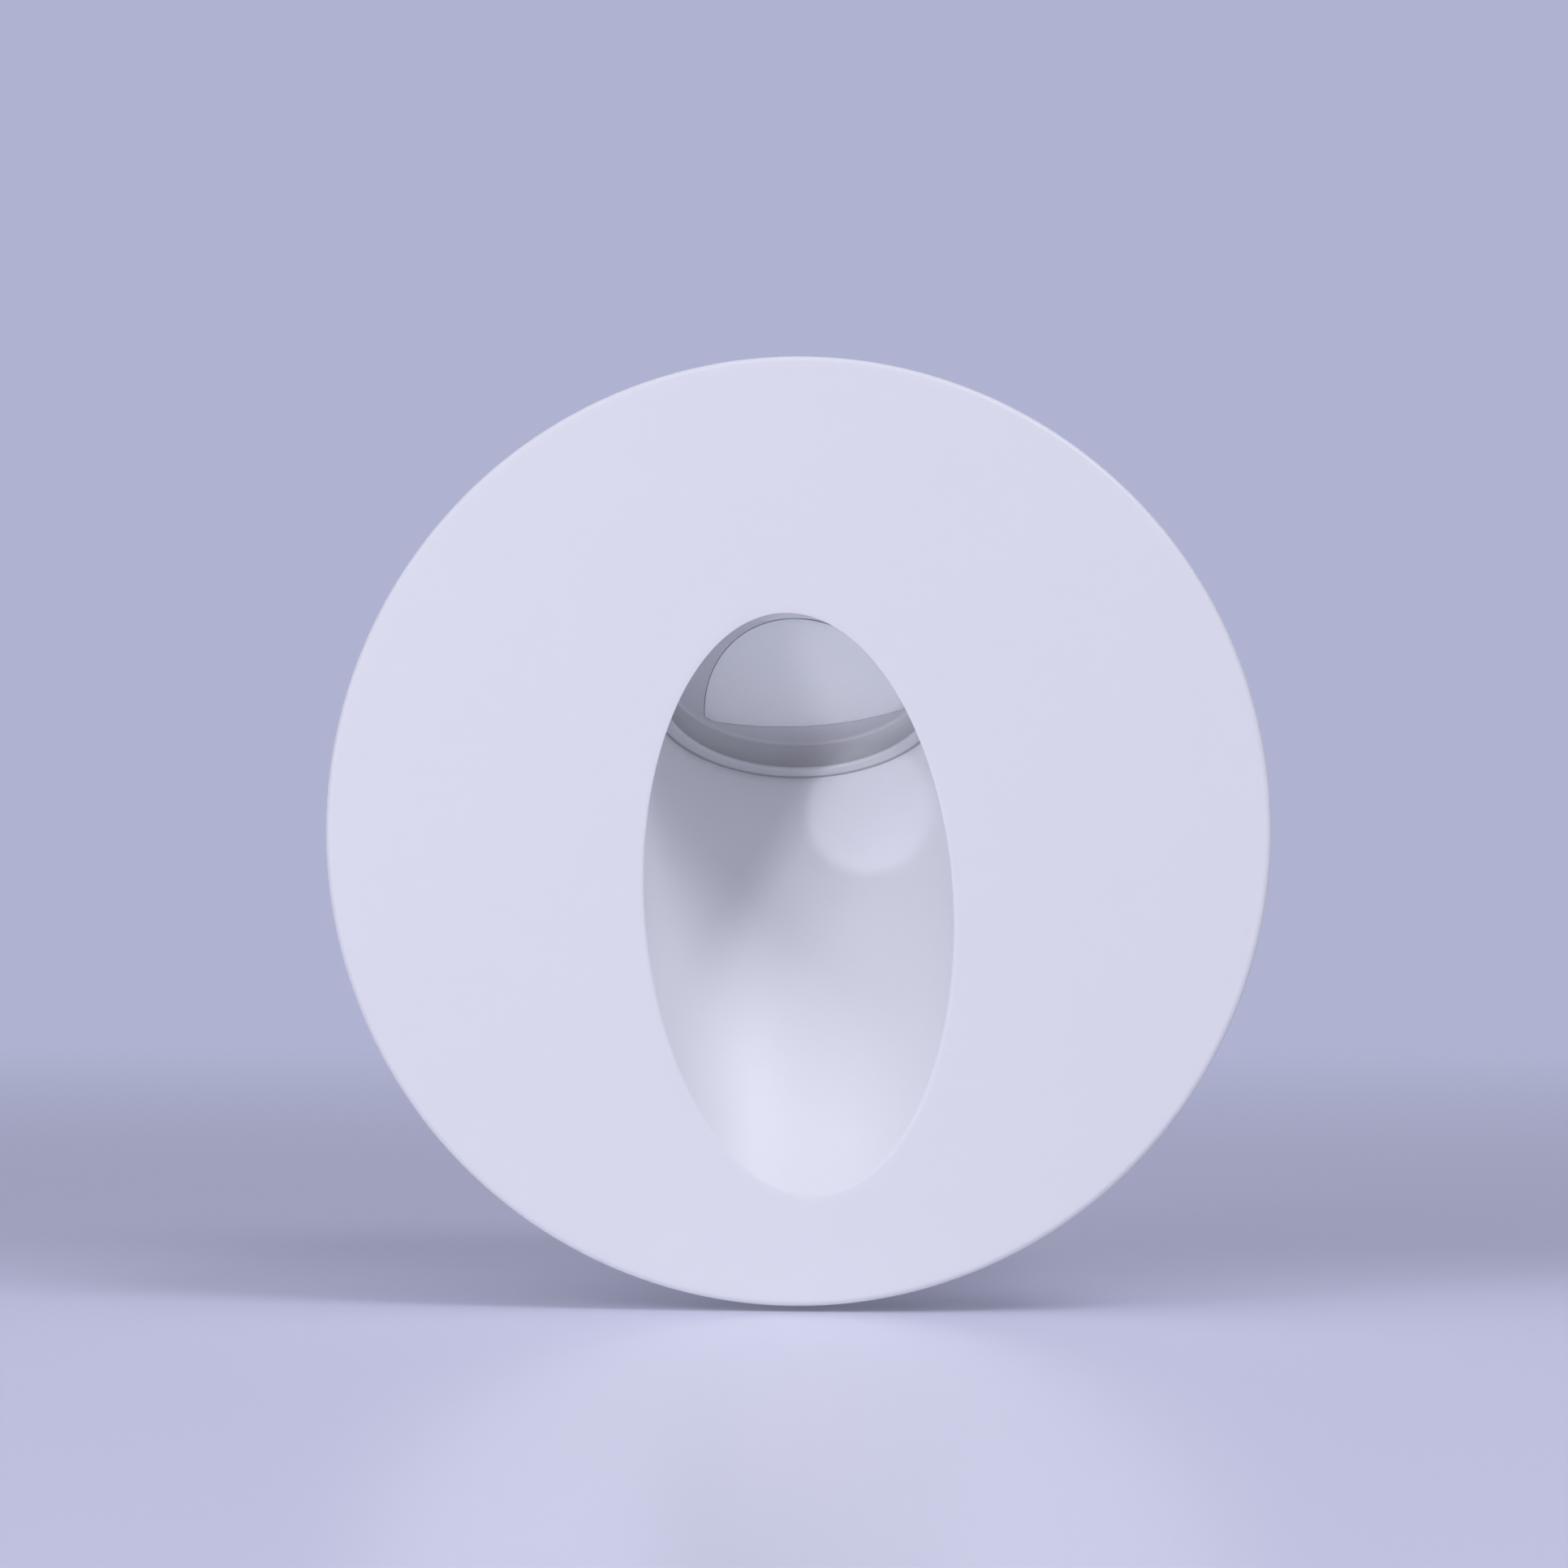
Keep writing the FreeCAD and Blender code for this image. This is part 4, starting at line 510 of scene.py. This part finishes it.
foam = finish("closed_cell_foam", (0.035, 0.035, 0.038), 0.2, (0.75, 0.9), 0.4 * MM, 0.03 * MM)
rubber = finish("dark_rubber", (0.03, 0.03, 0.033), 0.1, (0.55, 0.7), 0.3 * MM, 0.005 * MM)
grey_rubber = finish("grey_rubber", (0.42, 0.42, 0.43), 0.1, (0.5, 0.65), 0.3 * MM, 0.004 * MM)
dressed(foam, "wall_gasket", "body_seal", "cover_seal", "gland_washer")
dressed(rubber, "gland_seal")
dressed(grey_rubber, "lens_seal")

# ------------------------------------------------------------------ light engine
# Behind the lens sit a moulded reflector, the yellow silicone chip on its white metal
# board, a soft thermal pad and the sawn aluminium spreader that carries the heat off.
reflector_gloss = finish("reflector_gloss", (0.9, 0.9, 0.9), 0.01, (0.12, 0.2), 1 * MM, 0.001 * MM)
silicone = finish("chip_silicone", (0.83, 0.62, 0.12), 0.05, (0.25, 0.35), 0.2 * MM, 0.002 * MM)
white_mask = finish("white_solder_mask", (0.82, 0.82, 0.8), 0.03, (0.3, 0.45), 0.3 * MM, 0.004 * MM)
pad_skin = finish("thermal_pad_skin", (0.38, 0.45, 0.52), 0.05, (0.6, 0.75), 0.3 * MM, 0.01 * MM)
milled = finish(
    "milled_aluminium", (0.68, 0.69, 0.7), 0.04, (0.28, 0.42), 0.25 * MM, 0.004 * MM, metallic=1.0
)
steel = finish(
    "stainless_steel", (0.6, 0.6, 0.61), 0.06, (0.22, 0.38), 0.2 * MM, 0.003 * MM, metallic=1.0
)
dressed(reflector_gloss, "reflector")
dressed(silicone, "led_chip")
dressed(white_mask, "led_board")
dressed(pad_skin, "thermal_pad")
dressed(milled, "heat_spreader")
dressed(steel, "board_screws", "spreader_screws", "housing_screws", "driver_screws")

# ------------------------------------------------------------------ driver
# The mains driver is a green glass-fibre board with a taped transformer, sleeved
# capacitors, a choke, a moulded chip and a blue terminal block soldered to it.
green_mask = finish("green_solder_mask", (0.03, 0.2, 0.09), 0.12, (0.3, 0.45), 0.5 * MM, 0.01 * MM)
tape = finish("transformer_tape", (0.7, 0.5, 0.08), 0.06, (0.3, 0.4), 1.5 * MM, 0.02 * MM)
sleeve_black = finish("capacitor_sleeve", (0.02, 0.02, 0.03), 0.1, (0.15, 0.25), 2 * MM, 0.01 * MM)
shrink = finish("choke_shrink_sleeve", (0.03, 0.03, 0.03), 0.2, (0.4, 0.55), 0.8 * MM, 0.03 * MM)
moulded_chip = finish("moulded_chip", (0.025, 0.025, 0.025), 0.1, (0.5, 0.65), 0.1 * MM, 0.004 * MM)
blue_plastic = finish("terminal_plastic", (0.03, 0.12, 0.35), 0.05, (0.35, 0.45), 0.5 * MM, 0.004 * MM)
red_lead = finish("lead_insulation", (0.45, 0.02, 0.015), 0.06, (0.3, 0.4), 0.6 * MM, 0.004 * MM)
dressed(green_mask, "driver_board")
dressed(tape, "transformer")
dressed(sleeve_black, "input_capacitor", "output_capacitor")
dressed(shrink, "choke")
dressed(moulded_chip, "driver_chip")
dressed(blue_plastic, "terminal_block")
dressed(red_lead, "led_leads")

# ------------------------------------------------------------------ housing and cover
# The housing is a die-cast aluminium can with cooling slots and pockets for the clips,
# coated fine-textured grey. Its cover is screwed on from behind over a flat seal.
HOUSING_EDGE = 0.3 * MM
FLAT_ANGLE = math.radians(0.3)
COVER_HEAD = 1.9 * MM
COVER_HEAD_HEIGHT = 1.4 * MM
COVER_SHANK = 1.0 * MM
COVER_SHANK_LENGTH = 8.0 * MM
HEAD_EDGE = 0.2 * MM


def softened(node, name, edge, material, body="fixture"):
    """A copy of a CAD node with its crisp edges rounded, in the node's place."""
    bm = bmesh.new()
    bm.from_mesh(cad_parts[node].data)
    bmesh.ops.remove_doubles(bm, verts=bm.verts, dist=0.001 * MM)
    bmesh.ops.dissolve_limit(
        bm,
        angle_limit=FLAT_ANGLE,
        use_dissolve_boundaries=False,
        verts=bm.verts,
        edges=bm.edges,
        delimit=set(),
    )
    crisp = [e for e in bm.edges if e.is_manifold and e.calc_face_angle() > SHARP_ANGLE]
    bmesh.ops.bevel(
        bm,
        geom=crisp,
        offset=edge,
        offset_type="OFFSET",
        segments=2,
        profile=0.5,
        affect="EDGES",
        material=-1,
        clamp_overlap=True,
    )
    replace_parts(new_piece(name, bm, material, body), node)


def pan_screw(bm, shank, length, head, height, place):
    """A pan-head screw with a hexagonal socket, its head's seat at the frame's origin."""
    shoulder = 0.6 * height
    crown = 0.7 * head
    key_reach = 0.5 * head
    outline = [(0, -length), (shank, -length), (shank, 0), (head, 0), (head, shoulder)]
    spun(bm, outline + [(crown, height)], place, closed=False)
    rounded(bm, ring_at(bm, head, shoulder, place), HEAD_EDGE, steps=4)
    top = place @ Matrix.Translation((0, 0, height))
    socket = bmesh.ops.create_circle(bm, radius=key_reach, segments=6, matrix=top)["verts"]
    rim = ring_at(bm, crown, height, place) + edges_among(socket)
    out = place.to_3x3() @ Vector((0, 0, 1))
    bmesh.ops.triangle_fill(bm, use_beauty=True, edges=rim, normal=out)
    foot = drawn_on(bm, socket, place, shift=(0, 0, -shoulder))
    bmesh.ops.contextual_create(bm, geom=edges_among(foot))


grey_coat = finish(
    "textured_grey_coat", (0.5, 0.51, 0.53), 0.05, (0.5, 0.68), 0.45 * MM, 0.03 * MM
)
softened("housing", "housing_casting", HOUSING_EDGE, grey_coat)
softened("rear_cover", "rear_cover_casting", HOUSING_EDGE, grey_coat)

bm = bmesh.new()
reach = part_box("cover_screws")[1]
beside = reach.x - COVER_HEAD
for across in (-1, 1):
    for up in (-1, 1):
        seat = (across * beside, up * beside, reach.y - COVER_HEAD_HEIGHT)
        place = WALL @ Matrix.Translation(seat)
        pan_screw(bm, COVER_SHANK, COVER_SHANK_LENGTH, COVER_HEAD, COVER_HEAD_HEIGHT, place)
cover_screws = new_piece("cover_screw_set", bm, steel)
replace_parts(cover_screws, "cover_screws")

# ------------------------------------------------------------------ cable gland
# A moulded black nylon gland seals the cable's way in: a hexagonal collar, a rubber
# seal that the dome nut presses, and a locknut inside the cover.
GLAND_EDGE = 0.3 * MM
nylon = finish("black_nylon", (0.045, 0.045, 0.048), 0.08, (0.38, 0.5), 0.35 * MM, 0.008 * MM)
softened("gland_body", "gland_body_moulding", GLAND_EDGE, nylon)
softened("gland_cap", "gland_dome_nut", GLAND_EDGE, nylon)
softened("gland_locknut", "gland_locknut_moulding", GLAND_EDGE, nylon)

# ------------------------------------------------------------------ wall clips
# Each side has a pressed steel bracket, a riveted pin, a spring of drawn wire and a
# sprung arm with a rubber sleeve, which folds back to pass through the wall hole.
SHEET_EDGE = 0.1 * MM
BRACKET_HEAD = 1.7 * MM
BRACKET_HEAD_HEIGHT = 1.2 * MM
BRACKET_SHANK = 0.95 * MM
BRACKET_SHANK_LENGTH = 2.2 * MM
pressed = finish(
    "pressed_stainless", (0.62, 0.62, 0.63), 0.06, (0.25, 0.4), 0.3 * MM, 0.003 * MM, metallic=1.0
)
wire = finish(
    "spring_wire", (0.48, 0.48, 0.5), 0.08, (0.2, 0.35), 0.15 * MM, 0.002 * MM, metallic=1.0
)
sleeve_rubber = finish("sleeve_rubber", (0.04, 0.04, 0.043), 0.1, (0.55, 0.7), 0.3 * MM, 0.01 * MM)
for side in ("right", "left"):
    softened(f"clip_bracket_{side}", f"bracket_sheet_{side}", SHEET_EDGE, pressed)
    softened(f"clip_pin_{side}", f"rivet_pin_{side}", SHEET_EDGE, pressed)
    arm = f"clip_{side}"
    softened(f"clip_arm_{side}", f"arm_sheet_{side}", SHEET_EDGE, pressed, arm)
    dressed(wire, f"clip_spring_{side}")
    dressed(sleeve_rubber, f"clip_sleeve_{side}")

bm = bmesh.new()
start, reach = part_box("bracket_screws")
for across in (-1, 1):
    for up in (-1, 1):
        seat = (
            across * (reach.x - BRACKET_HEAD_HEIGHT),
            (start.y + reach.y) / 2,
            up * (reach.z - BRACKET_HEAD),
        )
        place = Matrix.Translation(seat) @ Matrix.Rotation(across * math.pi / 2, 4, "Y")
        pan_screw(bm, BRACKET_SHANK, BRACKET_SHANK_LENGTH, BRACKET_HEAD, BRACKET_HEAD_HEIGHT, place)
bracket_screws = new_piece("bracket_screw_set", bm, steel)
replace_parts(bracket_screws, "bracket_screws")

# ------------------------------------------------------------------ floor and backdrop
# A pale lavender sheet lies under the plate, turned a little as the plate stands on its
# round edge, and sweeps up behind it. Its satin surface mirrors the plate a little, and its
# colour is painted darker towards the rear as a painted shadow of the plate. It isn't part
# of the lamp.
FLOOR_Z = cad_low.z - 0.47 * MM
SHEET_HALF = 3.0
SHEET_FRONT = -3.0
SHEET_REAR = 0.66
SHEET_TOP = 2.4
SWEEP = 0.10
FLOOR_TURN = math.radians(3.4)
FLOOR_COLOUR = (0.82, 0.83, 0.95)
# painted shadow: the floor's colour behind the plate, darker where the plate's shadow falls, and the
# span over which it sets in
FLOOR_PAINTED_SHADOW_COLOUR = (0.5, 0.495, 0.58)
FLOOR_PAINTED_SHADOW_SPAN = (-0.01, 0.08)
BACKDROP_COLOUR = (0.43, 0.45, 0.635)
BACKDROP_STARTS = (FLOOR_Z + 0.012, FLOOR_Z + 0.07)
BACKDROP_SLANT = 0.12

bm = bmesh.new()
corners = [
    bm.verts.new(point)
    for point in (
        (-SHEET_HALF, SHEET_FRONT, FLOOR_Z),
        (SHEET_HALF, SHEET_FRONT, FLOOR_Z),
        (SHEET_HALF, SHEET_REAR, FLOOR_Z),
        (-SHEET_HALF, SHEET_REAR, FLOOR_Z),
    )
]
bm.faces.new(corners)
fold = bm.edges.get(corners[2:])
rise = bmesh.ops.extrude_edge_only(bm, edges=[fold])["geom"]
upper = [item for item in rise if isinstance(item, bmesh.types.BMVert)]
bmesh.ops.translate(bm, verts=upper, vec=(0, 0, SHEET_TOP))
rounded(bm, [bm.edges.get(corners[2:])], SWEEP, steps=24)
for face in bm.faces:
    face.smooth = True
sheet_mesh = bpy.data.meshes.new("paper_sweep")
bm.to_mesh(sheet_mesh)
bm.free()
sheet = bpy.data.objects.new("paper_sweep", sheet_mesh)
bpy.context.scene.collection.objects.link(sheet)
sheet.rotation_euler = (0, FLOOR_TURN, 0)

paper = bpy.data.materials.new("lavender_paper")
paper.use_nodes = True
nodes, links = paper.node_tree.nodes, paper.node_tree.links
shader = nodes["Principled BSDF"]
shader.inputs["Roughness"].default_value = 0.25
shader.inputs["Specular IOR Level"].default_value = 0.9
glow = nodes.new("ShaderNodeEmission")
glow.inputs["Color"].default_value = (*BACKDROP_COLOUR, 1)
place = nodes.new("ShaderNodeTexCoord")
axes = nodes.new("ShaderNodeSeparateXYZ")
links.new(place.outputs["Object"], axes.inputs["Vector"])
depth = nodes.new("ShaderNodeMapRange")
depth.interpolation_type = "SMOOTHSTEP"
depth.inputs["From Min"].default_value = FLOOR_PAINTED_SHADOW_SPAN[0]
depth.inputs["From Max"].default_value = FLOOR_PAINTED_SHADOW_SPAN[1]
links.new(axes.outputs["Y"], depth.inputs["Value"])
# painted shadow: the floor's colour turns to the darker one behind the plate
painted_shadow_mix = nodes.new("ShaderNodeMix")
painted_shadow_mix.data_type = "RGBA"
painted_shadow_mix.inputs["A"].default_value = (*FLOOR_COLOUR, 1)
painted_shadow_mix.inputs["B"].default_value = (*FLOOR_PAINTED_SHADOW_COLOUR, 1)
links.new(depth.outputs["Result"], painted_shadow_mix.inputs["Factor"])
links.new(painted_shadow_mix.outputs["Result"], shader.inputs["Base Color"])
slant = nodes.new("ShaderNodeMath")
slant.operation = "MULTIPLY_ADD"
slant.inputs[1].default_value = BACKDROP_SLANT
links.new(axes.outputs["Y"], slant.inputs[0])
links.new(axes.outputs["Z"], slant.inputs[2])
height = nodes.new("ShaderNodeMapRange")
height.interpolation_type = "SMOOTHSTEP"
height.inputs["From Min"].default_value = BACKDROP_STARTS[0]
height.inputs["From Max"].default_value = BACKDROP_STARTS[1]
links.new(slant.outputs["Value"], height.inputs["Value"])
rays = nodes.new("ShaderNodeLightPath")
seen = nodes.new("ShaderNodeMath")
seen.operation = "ADD"
seen.use_clamp = True
links.new(rays.outputs["Is Camera Ray"], seen.inputs[0])
links.new(rays.outputs["Is Glossy Ray"], seen.inputs[1])
also = nodes.new("ShaderNodeMath")
also.operation = "ADD"
also.use_clamp = True
links.new(seen.outputs["Value"], also.inputs[0])
links.new(rays.outputs["Is Transmission Ray"], also.inputs[1])
share = nodes.new("ShaderNodeMath")
share.operation = "MULTIPLY"
links.new(also.outputs["Value"], share.inputs[0])
links.new(height.outputs["Result"], share.inputs[1])
blend = nodes.new("ShaderNodeMixShader")
links.new(share.outputs["Value"], blend.inputs["Fac"])
links.new(shader.outputs["BSDF"], blend.inputs[1])
links.new(glow.outputs["Emission"], blend.inputs[2])
links.new(blend.outputs["Shader"], nodes["Material Output"].inputs["Surface"])
sheet_mesh.materials.append(paper)

# ------------------------------------------------------------------ lights
# A pale room lights the plate from all sides. A small lamp at the front left reaches into
# the bore, two panels and a roof above it soften the shadows, and a narrow beam through the
# mouth makes the bright patch below the ring's right half.
COOL = (0.86, 0.865, 1.0)
ROOM_STRENGTH = 0.35
PATCH = Vector((5.0 * MM, 17.0 * MM, 1.5 * MM))
PATCH_TO_BEAM = Vector((0.039, -0.7, 0.023))


def lamp(name, azimuth, elevation, distance, size, energy):
    """A square lamp round the plate's centre; azimuth is counted from the front to the right."""
    a, e = math.radians(azimuth), math.radians(elevation)
    way = Vector((math.sin(a) * math.cos(e), -math.cos(a) * math.cos(e), math.sin(e)))
    data = bpy.data.lights.new(name, "AREA")
    data.size = size
    data.energy = energy
    data.color = COOL
    made = bpy.data.objects.new(name, data)
    made.location = way * distance
    made.rotation_euler = way.to_track_quat("Z", "Y").to_euler()
    bpy.context.scene.collection.objects.link(made)


lamp("key_lamp", azimuth=-29, elevation=4, distance=0.9, size=0.14, energy=1.85)
lamp("left_panel", azimuth=-33, elevation=34, distance=1.0, size=0.4, energy=1.5)
lamp("right_panel", azimuth=58, elevation=50, distance=1.0, size=0.4, energy=3.4)
lamp("roof_panel", azimuth=0, elevation=80, distance=1.0, size=0.8, energy=0.95)

beam = bpy.data.lights.new("patch_beam", "SPOT")
beam.energy = 3.2
beam.color = COOL
beam.spot_size = math.radians(1)
beam.spot_blend = 0.3
beam.shadow_soft_size = 0.5 * MM
patch_beam = bpy.data.objects.new("patch_beam", beam)
patch_beam.location = PATCH + PATCH_TO_BEAM
patch_beam.rotation_euler = PATCH_TO_BEAM.to_track_quat("Z", "Y").to_euler()
bpy.context.scene.collection.objects.link(patch_beam)

world = bpy.data.worlds.new("pale_room")
bpy.context.scene.world = world
world.use_nodes = True
background = world.node_tree.nodes["Background"]
background.inputs["Color"].default_value = (*COOL, 1)
background.inputs["Strength"].default_value = ROOM_STRENGTH

# ------------------------------------------------------------------ camera
# The camera stands low and a little to the right of the plate's axis. It is rolled by the
# floor's turn, so that the floor looks level and the plate turned.
CAMERA_DISTANCE = 0.42
CAMERA_AZIMUTH = math.radians(5.5)
CAMERA_ELEVATION = math.radians(-0.5)
PHOTO_SIDE = 1932
PLATE_CENTRE = (978.0, 1023.9)
PLATE_PIXELS = 585.8

camera = bpy.data.cameras.new("camera")
seat = bpy.data.objects.new("camera", camera)
bpy.context.scene.collection.objects.link(seat)
way = Vector(
    (
        math.sin(CAMERA_AZIMUTH) * math.cos(CAMERA_ELEVATION),
        -math.cos(CAMERA_AZIMUTH) * math.cos(CAMERA_ELEVATION),
        math.sin(CAMERA_ELEVATION),
    )
)
roll = Matrix.Rotation(-FLOOR_TURN, 4, "Z")
aim = way.to_track_quat("Z", "Y").to_matrix().to_4x4() @ roll
seat.matrix_world = Matrix.Translation(Vector((0, FACE_Y, 0)) + way * CAMERA_DISTANCE) @ aim
camera.sensor_width = 36
camera.lens = PLATE_PIXELS / PHOTO_SIDE * camera.sensor_width * CAMERA_DISTANCE / FACE_RADIUS
camera.shift_x = (PHOTO_SIDE / 2 - PLATE_CENTRE[0]) / PHOTO_SIDE
camera.shift_y = (PLATE_CENTRE[1] - PHOTO_SIDE / 2) / PHOTO_SIDE
camera.clip_start = 10 * MM
bpy.context.scene.camera = seat
bpy.context.scene.view_settings.view_transform = "Standard"
